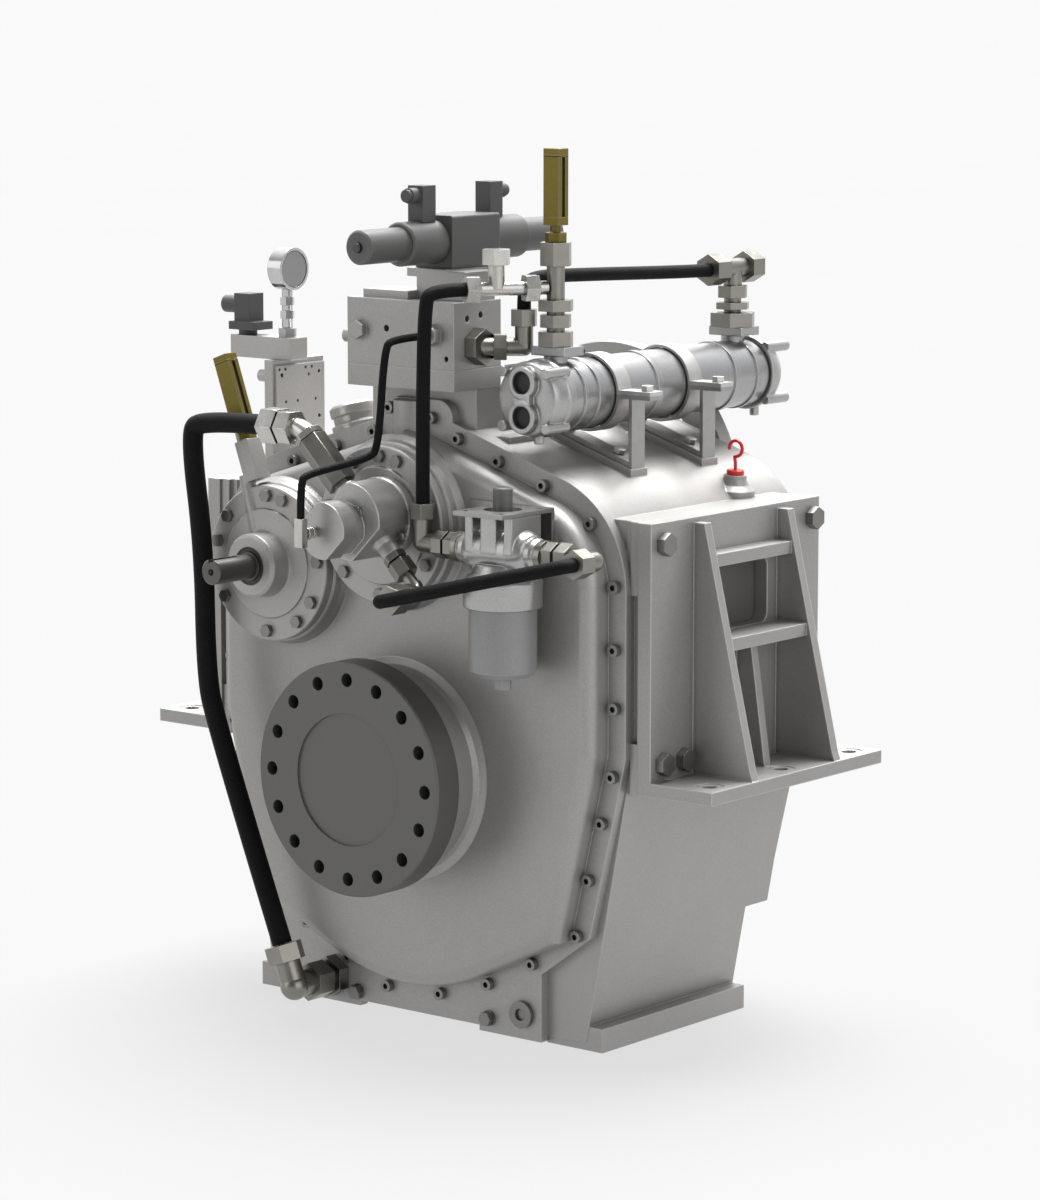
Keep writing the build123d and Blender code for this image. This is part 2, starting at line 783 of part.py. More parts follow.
def pinion(x, z, turn):
    """Sleeve pinion with the inner clutch plates on its hub."""
    bore = input_shaft_radius + running_clearance
    teeth = gear(tooth_module, pinion_teeth, x, z, bore, bull_gear_front - 4, bull_gear_rear + 4, turn)
    hub = ring(x, z, pinion_hub_radius, bore, bull_gear_rear + 4, drum_rear - 26)
    body = teeth + hub
    for count in range(plate_pairs):
        front = drum_front + 14 + count * 2 * (plate_thickness + plate_gap)
        body = body + ring(x, z, 90, bore, front, front + plate_thickness)
    return body


def clutch_drum(x, z, turn):
    """Clutch drum with transfer teeth outside and the outer clutch plates inside."""
    outline = gear_outline(tooth_module, transfer_teeth, turn) - Circle(input_shaft_radius)
    body = slab(Pos(x, z) * outline, drum_front, drum_rear)
    inner = tooth_module * transfer_teeth / 2 - 1.25 * tooth_module - drum_wall
    body = body - disc(x, z, inner, drum_front - 1, drum_rear - 22)
    for count in range(plate_pairs):
        front = drum_front + 14 + plate_thickness + plate_gap + count * 2 * (plate_thickness + plate_gap)
        body = body + ring(x, z, inner + 1, pinion_hub_radius + 4, front, front + plate_thickness)
    return body


def input_shaft():
    """Input shaft with the engine coupling flange behind it and a socket for the pump."""
    front = cover_face + cover_thickness + 8
    body = shaft(0, input_z, [
        (0, front), (input_shaft_radius - 2, front), (input_shaft_radius, front + 2),
        (input_shaft_radius, bell_front + 4), (coupling_radius, bell_front + 4),
        (coupling_radius, bell_front + 4 + coupling_thickness), (0, bell_front + 4 + coupling_thickness),
    ])
    for count in range(8):
        angle = 2 * math.pi * count / 8
        x = 105 * math.cos(angle)
        z = input_z + 105 * math.sin(angle)
        body = body - disc(x, z, 7, bell_front, bell_face + 1)
    return body - disc(0, input_z, 12, front - 1, front + 24)


def astern_shaft():
    """Astern clutch shaft: its thin front end is the power take-off, with a keyway."""
    front = cover_face + cover_thickness + 8
    end = cover_face - pto_hub_length - pto_shaft_length
    body = shaft(astern_x, astern_z, [
        (0, end), (pto_shaft_radius - 1.5, end), (pto_shaft_radius, end + 1.5),
        (pto_shaft_radius, end + pto_shaft_length - 2),
        (pto_journal_radius, end + pto_shaft_length - 2), (pto_journal_radius, front),
        (input_shaft_radius, front), (input_shaft_radius, 588), (0, 588),
    ])
    top = astern_z + pto_shaft_radius
    keyway = block((astern_x - key_width / 2, astern_x + key_width / 2), (end - 1, end + 52),
        (top - key_depth, top + 5))
    body = body - keyway
    return body - turned((astern_x, end - 1, astern_z), (0, 1, 0),
        [(0, 0), (5, 0), (5, 3), (3, 6), (3, 12), (0, 14)])


def pump_body():
    """Gear pump: flange, two-lobe body with its gear room, end cover and port bosses."""
    x0, z0 = pump_drive
    x1, z1 = pump_driven
    lobes = make_hull((Pos(x0, z0) * Circle(pump_lobe_radius)).edges() + (
        Pos(x1, z1) * Circle(pump_lobe_radius)).edges())
    wide = make_hull((Pos(x0 - 5, z0 - 5) * Circle(pump_lobe_radius + 1)).edges() + (
        Pos(x1 + 5, z1 + 5) * Circle(pump_lobe_radius + 1)).edges())
    body = slab(lobes, pump_front, cover_face - 4)
    body = body + slab(wide, cover_face - 20, cover_face - 4) + slab(wide, pump_front + 22, pump_front + 40)
    body = body + disc(x0, z0, 30, cover_face - 5, cover_face + 8)
    up_left = (-1, 0, 1)
    middle = (pump_middle[0], pump_port_y, pump_middle[1])
    body = body + rod(shift(middle, up_left, 24), up_left, 30, 54)
    body = body + rod(shift(middle, up_left, 24), (1, 0, -1), 24, 92)
    tip = pump_module * (pump_teeth / 2 + 1) + 0.3
    for x, z in (pump_drive, pump_driven):
        body = body - disc(x, z, tip, 6, 6.4 + pump_gear_width)
    body = body - disc(x0, z0, 12 + running_clearance, 6, cover_face + 9)
    body = body - disc(x1, z1, 10 + running_clearance, -14, 6.4 + pump_gear_width + 14)
    body = body - disc(x0, z0, 12 + running_clearance, -14, 7)
    for along in ((x0 - 31, z0), (x0, z0 - 31), (x1 + 31, z1), (x1, z1 + 31)):
        body = body + slab(Pos(*along) * RegularPolygon(7.5, 6, major_radius=False), pump_front - 8,
            pump_front + 1)
    return body


def pump_gears():
    """Drive gear with its shaft into the input shaft, and driven gear with its pin."""
    front = 6.2
    rear = 6.2 + pump_gear_width
    end = cover_face + cover_thickness + 8 + 22
    drive = gear(pump_module, pump_teeth, *pump_drive, 0, front, rear, 0, pump_backlash_angle)
    drive = drive + disc(*pump_drive, 12, -12, end)
    turn = mesh_turn(45, pump_teeth, pump_teeth, 0)
    driven = gear(pump_module, pump_teeth, *pump_driven, 0, front, rear, turn, pump_backlash_angle)
    driven = driven + disc(*pump_driven, 10, -12, rear + 12)
    return drive, driven


def suction_pump_fitting():
    """Hex, nut and elbow between the pump's suction port and the hose."""
    up_left = (-1, 0, 1)
    middle = (pump_middle[0], pump_port_y, pump_middle[1])
    body = hex_bar(shift(middle, up_left, 78), up_left, 50, 12)
    body = body + rod(shift(middle, up_left, 88), up_left, 17, 60)
    body = body + hex_bar(shift(middle, up_left, 100), up_left, 50, 24)
    body = body + hex_bar(shift(middle, up_left, 130), up_left, 46, 24)
    corner = shift(middle, up_left, 171)
    body = body + rod(shift(corner, up_left, -24), up_left, 19, 24)
    body = body + Pos(*corner) * Sphere(19) + rod(corner, (-1, 0, 0), 19, 16)
    return body + hex_bar(shift(corner, (-1, 0, 0), 14), (-1, 0, 0), 50, 32)


suction_corner = shift((pump_middle[0], pump_port_y, pump_middle[1]), (-1, 0, 1), 171)
suction_start = shift(suction_corner, (-1, 0, 0), 46)
casing_corner = (-166, 67, -341)
hose_knee = (-317, 45, 84)
casing_line = (-0.325, -0.04, 0.945)
suction_end = shift(casing_corner, casing_line, 65)


def suction_casing_fitting():
    """Hex, forged elbow and nut between the sump port and the hose."""
    x, y, z = casing_corner
    body = hex_bar((x, rim_front - 20, z), (0, 1, 0), 55, 20)
    body = body + rod(casing_corner, (0, 1, 0), 19, rim_front - 19 - y)
    body = body + hex_bar((x, y + 30, z), (0, 1, 0), 50, 32)
    body = body + Pos(x, y, z) * Sphere(21)
    body = body + rod(casing_corner, casing_line, 19, 42)
    return body + hex_bar(shift(casing_corner, casing_line, 38), casing_line, 50, 26)


pressure_corner = shift((pump_middle[0], pump_port_y, pump_middle[1]), (1, 0, -1), 140)
pressure_start = (pressure_corner[0], -46, pressure_corner[2])


def pressure_fitting():
    """Hex, elbow and nut at the pump's pressure port."""
    down_right = (1, 0, -1)
    middle = (pump_middle[0], pump_port_y, pump_middle[1])
    body = hex_bar(shift(middle, down_right, 68), down_right, 36, 12)
    body = body + rod(shift(middle, down_right, 78), down_right, 12, 62)
    body = body + hex_bar(shift(middle, down_right, 90), down_right, 36, 22)
    body = body + Pos(*pressure_corner) * Sphere(14) + rod(pressure_corner, (0, -1, 0), 14, 60)
    body = body + hex_bar(shift(pressure_corner, (0, -1, 0), 16), (0, -1, 0), 32, 16)
    return body + hex_bar(shift(pressure_corner, (0, -1, 0), 42), (0, -1, 0), 36, 28)


def filter_head():
    """Filter head: turned collar, neck, two side bosses and the top indicator."""
    body = turned((filter_x, filter_y, 0), (0, 0, 1), [
        (0, filter_collar_z), (55, filter_collar_z), (55, 288), (50, 292), (46, 296), (46, 318),
        (52, 326), (52, 366), (40, 378), (36, 386), (36, 399), (0, 399),
    ])
    for side in (1, -1):
        start = (filter_x + side * 30, filter_y, filter_port_z)
        body = body + turned(start, (side, 0, 0),
            [(0, 0), (42, 0), (42, 24), (38, 30), (38, 38), (28, 40), (0, 40)])
    body = body + rod((filter_x, filter_y, 398), (0, 0, 1), 14, 39)
    return body


def filter_bowl():
    """Filter bowl with a hexagon at its foot."""
    body = turned((filter_x, filter_y, 0), (0, 0, 1), [
        (0, filter_bowl_bottom_z), (filter_bowl_radius - 8, filter_bowl_bottom_z),
        (filter_bowl_radius, filter_bowl_bottom_z + 8),
        (filter_bowl_radius, filter_collar_z), (0, filter_collar_z),
    ])
    return body + hex_bar((filter_x, filter_y, filter_bowl_bottom_z - 19), (0, 0, 1), 22, 20)


def filter_bracket():
    """Bent plate: the shelf carries the filter head, the back is bolted to the dome."""
    left = filter_x - filter_plate_width / 2
    right = filter_x + filter_plate_width / 2
    shelf = block((left, right), (-1, filter_plate_length - 1), (filter_plate_z - 3, filter_plate_z + 3))
    shelf = shelf - rod((filter_x, filter_y, filter_plate_z - 5), (0, 0, 1), 27, 12)
    for x in (left + 12, right - 12):
        for y in (12, 94):
            shelf = shelf - rod((x, y, filter_plate_z - 5), (0, 0, 1), 5, 12)
    back = block((left, right), (filter_plate_length - 7, filter_plate_length - 1),
        (filter_plate_z - 62, filter_plate_z + 3))
    return shelf + back


def filter_fittings():
    """Screwed fittings on both sides of the filter head, each with an elbow."""
    chains = []
    z = filter_port_z
    left = filter_x - 70
    body = rod((left, filter_y, z), (-1, 0, 0), 22, 10) + rod((left - 8, filter_y, z), (-1, 0, 0), 12, 40)
    body = body + hex_bar((left - 10, filter_y, z), (-1, 0, 0), 34,
        16) + hex_bar((left - 30, filter_y, z), (-1, 0, 0), 34, 18)
    body = body + rod((left - 40, filter_y, z), (-1, 0, 0), 14, left - 40 - 97) + Pos(97, filter_y,
        z) * Sphere(14)
    body = body + rod((97, filter_y, z), (0, 0, 1), 14, 40) + hex_bar((97, filter_y, z + 34), (0, 0, 1),
        32, 22)
    chains.append(body)
    right = filter_x + 70
    body = rod((right, filter_y, z), (1, 0, 0), 22, 10) + rod((right + 8, filter_y, z), (1, 0, 0), 12, 50)
    body = body + hex_bar((right + 10, filter_y, z), (1, 0, 0), 36,
        18) + hex_bar((right + 34, filter_y, z), (1, 0, 0), 38, 20)
    body = body + rod((right + 50, filter_y, z), (1, 0, 0), 14, 404 - right - 50) + Pos(404, filter_y,
        z) * Sphere(14)
    body = body + rod((404, filter_y, z), (0, -1, 0), 14, 30) + hex_bar((404, filter_y - 20, z),
        (0, -1, 0), 36, 26)
    chains.append(body)
    return Compound(chains)


def cooler_line(radius, front, rear):
    return disc(cooler_x, cooler_z, radius, front, rear)


def cooler_shell():
    """Shell of the oil cooler with raised beads and two oil port saddles."""
    front = cooler_front + cooler_cap_length
    rear = cooler_rear - cooler_cap_length
    body = cooler_line(cooler_radius - 2, front, rear)
    for station in (front + 24, rear - 30):
        body = body + cooler_line(cooler_radius, station, station + 6)
    for station in (front + 56, 390, rear - 84):
        body = body + cooler_line(cooler_radius, station, station + 12)
    for station in stack_stations:
        body = body + rod((cooler_x, station, cooler_z), (0, 0, 1), 17, 60)
        body = body + block((cooler_x - 30, cooler_x + 30), (station - 18, station + 26),
            (cooler_z + 58, cooler_z + 71))
    return body


def cooler_end_caps():
    """Cast end caps: square lugs with tie rods, and two water ports at the front."""
    caps = []
    for front, rear, sign in ((cooler_front, cooler_front + cooler_cap_length, 1),
        (cooler_rear - cooler_cap_length, cooler_rear, -1)):
        start = front + 12 if sign == 1 else front
        body = cooler_line(cooler_radius + 2, start, start + cooler_cap_length - 12)
        body = fillet(body.edges().group_by(Axis.Y)[0 if sign == 1 else -1], 9)
        face = front if sign == 1 else rear - 18
        for side in (1, -1):
            port = rod((cooler_x, face, cooler_z + side * cooler_port_pitch / 2), (0, 1, 0), 20, 18)
            body = body + port
        for angle in (45, 135, 225, 315):
            turn = math.radians(angle)
            x = cooler_x + (cooler_radius + 3) * math.cos(turn)
            z = cooler_z + (cooler_radius + 3) * math.sin(turn)
            body = body + disc(x, z, 8, front + 5, rear - 5)
        if sign == 1:
            for side in (1, -1):
                z = cooler_z + side * cooler_port_pitch / 2
                body = body - disc(cooler_x, z, cooler_port_radius, front - 1, front + 40)
        caps.append(body)
    return Compound(caps)


def cooler_stands():
    """Two bent stands on the roof rails: lower half ring with ears and two legs."""
    stands = []
    outer = cooler_radius + 5
    bottom_left = cooler_x - stand_half_width
    bottom_right = cooler_x + stand_half_width
    for station in strap_stations:
        front = station - strap_width / 2
        rear = station + strap_width / 2
        frame = Pos(cooler_x, cooler_z) * Circle(outer) - Pos(cooler_x, cooler_z + 100) * Rectangle(300,
            200)
        frame = frame + Pos(cooler_x, cooler_z - 3) * Rectangle(2 * ear_half_width, 6)
        for x in (bottom_left, bottom_right):
            low = roof_z(x, -12)
            frame = frame + Pos(x, (low + cooler_z - 2) / 2) * Rectangle(6, cooler_z - 2 - low)
        plate = make_face(Polyline(
            (bottom_left - 3, roof_z(bottom_left - 3, -9)), (bottom_left - 3, roof_z(bottom_left - 3, -17)),
            (bottom_right + 3, roof_z(bottom_right + 3, -17)),
            (bottom_right + 3, roof_z(bottom_right + 3, -9)), close=True,
        ))
        frame = frame + plate - Pos(cooler_x, cooler_z) * Circle(cooler_radius)
        stands.append(slab(frame, front, rear))
    return Compound(stands)


def cooler_straps():
    """Two upper half straps with ears and bolts, and the stands' foot bolts."""
    straps = []
    for station in strap_stations:
        front = station - strap_width / 2
        rear = station + strap_width / 2
        half = Pos(cooler_x, cooler_z) * Circle(cooler_radius + 4) - Pos(cooler_x,
            cooler_z - 100) * Rectangle(300, 200)
        half = half + Pos(cooler_x, cooler_z + 3) * Rectangle(2 * ear_half_width, 6)
        half = half - Pos(cooler_x, cooler_z) * Circle(cooler_radius)
        strap = slab(half, front, rear)
        for side in (1, -1):
            start = (cooler_x + side * (ear_half_width - 16), station, cooler_z + 5)
            strap = strap + hex_bar(start, (0, 0, 1), 16, 9)
        straps.append(strap)
        for x in (163, 253):
            start = (x, station, roof_z(x, -17))
            direction = (math.sin(slope), 0, math.cos(slope))
            straps.append(hex_bar(start, direction, 16, 7))
    return Compound(straps)


def stack(station, flange_top, sizes):
    """Screwed stack on an oil port: the sizes list across flats, bottom and top."""
    body = rod((cooler_x, station, flange_top), (0, 0, 1), 13, sizes[-1][2] - flange_top)
    for flats, low, high in sizes:
        body = body + hex_bar((cooler_x, station, low), (0, 0, 1), flats, high - low)
    return body


tee_z = 702.0
tee_start = (97, 55)
tee_end = (cooler_x, stack_stations[0])
tee_direction = Vector(tee_end[0] - tee_start[0], tee_end[1] - tee_start[1], 0).normalized()
tee_vector = (tee_direction.X, tee_direction.Y, 0)
tee_length = math.hypot(tee_end[0] - tee_start[0], tee_end[1] - tee_start[1])
tee_nut = shift((*tee_start, tee_z), tee_vector, 62)


def cooler_fittings():
    """Oil port stacks of the cooler, with the rear tee, and the small drain plugs."""
    top = cooler_z + 71
    chains = [
        stack(stack_stations[0], top, [(46, top, 640), (41, 646, 664), (46, 669, 685), (41, 733, 766)]),
        stack(stack_stations[1], top, [(62, top, 640), (46, 645, 655), (41, 662, 680)]),
    ]
    tee_top = 706
    tee = rod((cooler_x, stack_stations[1] - 36, tee_top), (0, 1, 0), 14, 72)
    tee = tee + rod((cooler_x, stack_stations[1], 676), (0, 0, 1), 14, 30)
    tee = tee + hex_bar((cooler_x, stack_stations[1] - 62, tee_top), (0, 1, 0), 41, 32)
    tee = tee + hex_bar((cooler_x, stack_stations[1] + 26, tee_top), (0, 1, 0), 41, 28)
    chains[1] = chains[1] + tee
    return Compound(chains)


def supply_tee():
    """Pipe with a branch between the filter's outlet hose and the cooler's front stack."""
    end = shift((*tee_start, tee_z), tee_vector, tee_length - 13)
    body = rod(tee_nut, tee_vector, 10, tee_length - 62 - 12.5)
    body = body + hex_bar(tee_nut, tee_vector, 36, 20)
    branch = shift(tee_nut, tee_vector, 46)
    body = body + rod(branch, (0, 0, 1), 12, 42) + hex_bar((branch[0], branch[1], 736), (0, 0, 1), 36, 22)
    body = body + hex_bar(shift(end, tee_vector, -34), tee_vector, 36, 20)
    stack_hole = rod((cooler_x, stack_stations[0], 650), (0, 0, 1), 13, 100)
    return body - stack_hole


def thermometer(start, direction, base):
    """Straight thermometer: hex, round foot and flat-sided body."""
    body = hex_bar(start, direction, 27, 14)
    body = body + rod(shift(start, direction, 14), direction, 8, 12)
    frame = Plane(origin=shift(start, direction, 24), z_dir=direction, x_dir=(0, 1, 0))
    case = Box(22, 28, base, align=(Align.CENTER, Align.CENTER, Align.MIN))
    case = case - Pos(-11, 0, 14) * Box(8, 10, base - 28, align=(Align.CENTER, Align.CENTER, Align.MIN))
    return body + frame * case


def thermometers():
    """Thermometer on the cooler's front stack and the one on the power take-off cover."""
    pocket = shift((astern_x, cover_face + 24, astern_z), pocket_direction, 182)
    return Compound([
        thermometer((cooler_x, stack_stations[0], 766), (0, 0, 1), 108),
        thermometer(pocket, pocket_direction, 106),
    ])


def control_base():
    """Plate between the roof turret and the control block."""
    return block((-control_half_width, control_half_width),
        (control_front, control_front + control_length), (turret_top_z, control_base_top_z))


def control_block():
    """Drilled block of the control valve, with its plugs, screws and ports."""
    rear = control_front + control_length
    body = block((-control_half_width, control_half_width), (control_front, rear),
        (control_base_top_z, control_top_z))
    body = body + block((-78, 6), (control_front + 10, control_front + 76),
        (control_top_z, control_top_z + 12))
    body = body + hex_bar((-76, control_front, 634), (0, -1, 0), 24, 10)
    body = body + hex_bar((63, control_front, 633), (0, -1, 0), 27, 14)
    body = body - rod((-26, control_front - 1, 638), (0, 1, 0), 5,
        15) - rod((86, control_front - 1, 600), (0, 1, 0), 4, 15)
    body = body + rod((-control_half_width, 140, 622), (-1, 0, 0), 10, 20)
    for y, z in ((150, 656), (180, 660)):
        body = body - rod((control_half_width + 1, y, z), (-1, 0, 0), 5, 12)
    return body


return_x = 160.0
return_y = 204.0
return_z = 616.0


def return_fitting():
    """Port hex on the control block, then an angled nut and an elbow upwards."""
    port = (control_half_width, return_y - 37, return_z)
    corner = (return_x, return_y, return_z)
    line = (return_x - port[0] - 12, 37, 0)
    body = hex_bar(port, (1, 0, 0), 46, 20)
    body = body + rod(shift(port, (1, 0, 0), 12), line, 13, math.hypot(line[0], line[1]))
    body = body + hex_bar(shift((port[0] + 12, port[1], port[2]), line, 18), line, 36, 18)
    body = body + Pos(*corner) * Sphere(13)
    body = body + rod(corner, (0, 0, 1), 13, 36)
    return body + hex_bar((return_x, return_y, return_z + 30), (0, 0, 1), 34, 24)


def valve_subplate():
    """Plate under the directional valve."""
    return block((6, 97), (150, 215), (control_top_z, 722)) + block((-12, 62), (150, 276),
        (712, valve_plate_top_z))


def valve_body():
    """Directional valve body with rounded edges."""
    body = block((valve_x - valve_width / 2, valve_x + valve_width / 2),
        (valve_front, valve_front + valve_length), (valve_plate_top_z, valve_plate_top_z + valve_height))
    return fillet(body.edges().filter_by(Axis.Y), 4)


valve_axis_z = valve_plate_top_z + 38


def solenoids():
    """Two coils with their core tubes, one at each end of the valve."""
    coils = []
    for sign, face in ((-1, valve_front), (1, valve_front + valve_length)):
        start = (valve_x, face, valve_axis_z)
        end = coil_length + solenoid_tube_length
        body = turned(start, (0, sign, 0), [
            (0, 0), (coil_radius - 2, 0), (coil_radius, 2), (coil_radius, coil_length - 3),
            (coil_radius - 3, coil_length),
            (solenoid_tube_radius, coil_length), (solenoid_tube_radius, end - 3),
            (solenoid_tube_radius - 3, end),
            (button_radius + 0.35, end), (button_radius + 0.35, end - 20), (0, end - 20),
        ])
        coils.append(body)
    return Compound(coils)


def override_button(sign):
    """Hand override button in the end of a core tube."""
    face = valve_front if sign < 0 else valve_front + valve_length
    end = coil_length + solenoid_tube_length
    start = (valve_x, face, valve_axis_z)
    return turned(start, (0, sign, 0), [
        (0, end - 15), (button_radius, end - 15), (button_radius, end + 4),
        (button_radius - 1.5, end + 5.5), (0, end + 5.5),
    ])


def solenoid_plugs():
    """Angled electric plugs on the coils, each with a cable gland."""
    plugs = []
    for sign, y in ((-1, valve_front - 26), (1, valve_front + valve_length + 18)):
        low = valve_axis_z + coil_radius - 2
        body = block((valve_x - 14, valve_x + 14), (y - 14, y + 14), (low, low + 52))
        body = body + rod((valve_x, y, low + 38), (0, sign, 0), 11, 30) + rod((valve_x, y, low + 38),
            (0, sign, 0), 9, 36)
        plugs.append(body)
    seat = disc(valve_x, valve_axis_z, coil_radius, 60, 400)
    return Compound([plug - seat for plug in plugs])


def gauge_block():
    """Drilled block on the left shoulder, with a thin plate on its outer face."""
    rear = gauge_block_front + gauge_block_length
    body = block((gauge_block_x - gauge_block_width, gauge_block_x), (gauge_block_front, rear),
        (396, gauge_block_top_z))
    body = body + block((gauge_block_x - 1, gauge_block_x + 4), (gauge_block_front + 3, rear - 2),
        (450, gauge_block_top_z - 8))
    for y in (gauge_block_front + 15, rear - 14):
        for z in (482, gauge_block_top_z - 22):
            body = body - rod((gauge_block_x + 5, y, z), (-1, 0, 0), 3, 12)
    body = body + rod((gauge_block_x - gauge_block_width, gauge_block_front + 14, 546), (-1, 0, 0), 9, 20)
    return body - slab(case_outline(0), front_joint, rear_joint)


def gauge_manifold():
    """Manifold on top of the gauge block."""
    body = block((-396, -275), (190, 227), (gauge_block_top_z, 604))
    body = body + hex_bar((gauge_stem_x, 208, 604), (0, 0, 1), 24, 14)
    return body


def pressure_gauge():
    """Gauge on an upright stem, its dial turned to the right."""
    dial_x = gauge_stem_x + gauge_depth / 2
    body = rod((gauge_stem_x, 208, 618), (0, 0, 1), 8, gauge_z - 30 - 618)
    body = body + hex_bar((gauge_stem_x, 208, 632), (0, 0, 1), 19, 12)
    body = body + hex_bar((gauge_stem_x, 208, 652), (0, 0, 1), 19, 12)
    case = turned((dial_x, 208, gauge_z), (-1, 0, 0), [
        (0, 2), (gauge_radius - 4, 2), (gauge_radius - 4, 0), (gauge_radius, 0),
        (gauge_radius, gauge_depth - 4),
        (gauge_radius - 4, gauge_depth), (0, gauge_depth),
    ])
    return body + case


def pressure_switch():
    """Pressure switch: base, square body and round connector."""
    body = rod((-377, 208, 604), (0, 0, 1), 14, 12)
    body = body + block((-397, -346), (187, 229), (612, 624))
    body = body + block((-390, -360), (192, 224), (624, 666))
    return body + rod((-390, 208, 648), (-1, 0, 0), 13, 30)


def breather_cap():
    """Stepped filler cap square to the left roof."""
    direction = (-math.sin(slope), 0, math.cos(slope))
    base = (-147, 192, roof_z(147))
    return turned(base, direction, [
        (0, 0), (35, 0), (35, 8), (30, 10), (30, 20), (33, 22), (33, 34), (28, 38), (0, 38),
    ])


def dipstick():
    """Dipstick: rod, red stopper disc and bent hook."""
    low = dipstick_boss_top_z - dipstick_bottom_z
    body = rod(shift(dipstick_seat, dipstick_line, -low), dipstick_line, dipstick_rod_radius, low)
    body = body + rod(dipstick_seat, dipstick_line, 13, 7)
    x, y, z = shift(dipstick_seat, dipstick_line, 7)
    path = FilletPolyline((x, y, z - 2), (x, y, z + 14), (x + 14, y, z + 22), (x + 14, y, z + 44),
        (x - 12, y, z + 44), (x - 12, y, z + 26), radius=6)
    return body + sweep(Plane(origin=path @ 0, z_dir=path % 0) * Circle(2.5), path=path)


def hose(name, points, radii, radius):
    """Hose: straight runs joined by tangent arcs."""
    path = FilletPolyline(*points, radius=radii)
    body = sweep(Plane(origin=path @ 0, z_dir=path % 0) * Circle(radius), path=path)
    ideal = math.pi * radius ** 2 * path.length
    print(name, "length", round(path.length, 1), "arcs", radii, "volume ratio",
        round(body.volume / ideal, 4))
    return body


def suction_hose():
    """Suction hose: out to the left, down the side and back to the sump port."""
    return hose("suction_hose", [
        suction_start, (-334, pump_port_y, suction_corner[2]), (-319, 45, 300), hose_knee, suction_end,
    ], [42, 250, 250], 15)


def pilot_hose():
    """Pilot hose from the pump's end to the control block."""
    x = pilot_x
    return hose("pilot_hose", [
        (x, pilot_y, 386), (x, pilot_y, 446), (44, 20, 468), (56, 22, 633),
        (63, control_front - 30, 633), (63, control_front - 14, 633),
    ], [20, 24, 26, 20], 5.5)


pilot_x = -10.0
pilot_y = -88.0


def pilot_fitting():
    """Small block in front of the pump, with its nuts."""
    x, y = pilot_x, pilot_y
    body = block((x - 13, x + 13), (y - 13, y + 13), (350, 376))
    body = body + rod((x, y + 12, 364), (0, 1, 0), 8, pump_front - y - 12)
    body = body + hex_bar((x, y + 18, 364), (0, 1, 0), 20, 14)
    return body + hex_bar((x, y, 376), (0, 0, 1), 17, 10)


def filter_outlet_hose():
    """Hose from the filter's outlet up to the supply pipe."""
    return hose("filter_outlet_hose", [
        (97, filter_y, filter_port_z + 56), (97, filter_y, tee_z), shift(tee_nut, tee_vector, 0),
    ], [38], 10)


def pump_outlet_hose():
    """Hose from the pump's pressure port to the filter's inlet."""
    end = (404, filter_y - 46, filter_port_z)
    return hose("pump_outlet_hose", [
        pressure_start, (pressure_start[0], -74, pressure_start[2]), (404, -12, filter_port_z), end,
    ], [20, 20], 10)


def cooler_return_hose():
    """Hose from the control block up and back to the cooler's rear stack."""
    return hose("cooler_return_hose", [
        (return_x, return_y, return_z + 54), (return_x, return_y, 714), (return_x + 8, 262, 714),
        (cooler_x, stack_stations[1] - 100, 706), (cooler_x, stack_stations[1] - 62, 706),
    ], [26, 60, 60], 10)


os.makedirs("parts", exist_ok=True)
save(main_casing(), "main_casing")
save(front_cover(), "front_cover")
save(rear_cover(), "rear_cover")
save(bell_housing(), "bell_housing")
save(bracket(), "right_bracket")
save(mirrored(bracket()), "left_bracket")
save(bracket_bolts(), "bracket_bolts")
save(rim_screws(), "rim_screws")
save(drain_plugs(), "drain_plugs")
save(pto_cover(), "pto_cover")
save(pump_cover(), "pump_cover")
save(cover_bolts(), "cover_bolts")
save(shaft_seals(), "shaft_seals")
save(shaft_bearings(), "shaft_bearings")
save(output_shaft(), "output_shaft")
save(bull_gear(), "bull_gear")
save(pinion(0, input_z, mesh_turn(90, bull_teeth, pinion_teeth, 0)), "ahead_pinion")
save(pinion(astern_x, astern_z, mesh_turn(90 + math.degrees(side_angle), bull_teeth, pinion_teeth, 0)),
    "astern_pinion")
save(clutch_drum(0, input_z, 0), "ahead_clutch_drum")
save(clutch_drum(astern_x, astern_z, mesh_turn(transfer_angle, transfer_teeth, transfer_teeth, 0)),
    "astern_clutch_drum")
save(input_shaft(), "input_shaft")
save(astern_shaft(), "astern_shaft")
save(pump_body(), "pump_body")
drive_gear, driven_gear = pump_gears()
save(drive_gear, "pump_drive_gear")
save(driven_gear, "pump_driven_gear")
save(suction_pump_fitting(), "suction_pump_fitting")
save(suction_casing_fitting(), "suction_casing_fitting")
save(pressure_fitting(), "pressure_fitting")
save(pilot_fitting(), "pilot_fitting")
save(filter_head(), "filter_head")
save(filter_bowl(), "filter_bowl")
save(filter_bracket(), "filter_bracket")
save(filter_fittings(), "filter_fittings")
save(cooler_shell(), "cooler_shell")
save(cooler_end_caps(), "cooler_end_caps")
save(cooler_stands(), "cooler_stands")
save(cooler_straps(), "cooler_straps")
save(cooler_fittings(), "cooler_fittings")
save(supply_tee(), "supply_tee")
save(thermometers(), "thermometers")
save(control_base(), "control_base")
save(control_block(), "control_block")
save(return_fitting(), "return_fitting")
save(valve_subplate(), "valve_subplate")
save(valve_body(), "valve_body")
save(solenoids(), "solenoids")
save(solenoid_plugs(), "solenoid_plugs")
save(override_button(-1), "front_override_button")
save(override_button(1), "rear_override_button")
save(gauge_block(), "gauge_block")
save(gauge_manifold(), "gauge_manifold")
save(pressure_gauge(), "pressure_gauge")
save(pressure_switch(), "pressure_switch")
save(breather_cap(), "breather_cap")
save(dipstick(), "dipstick")
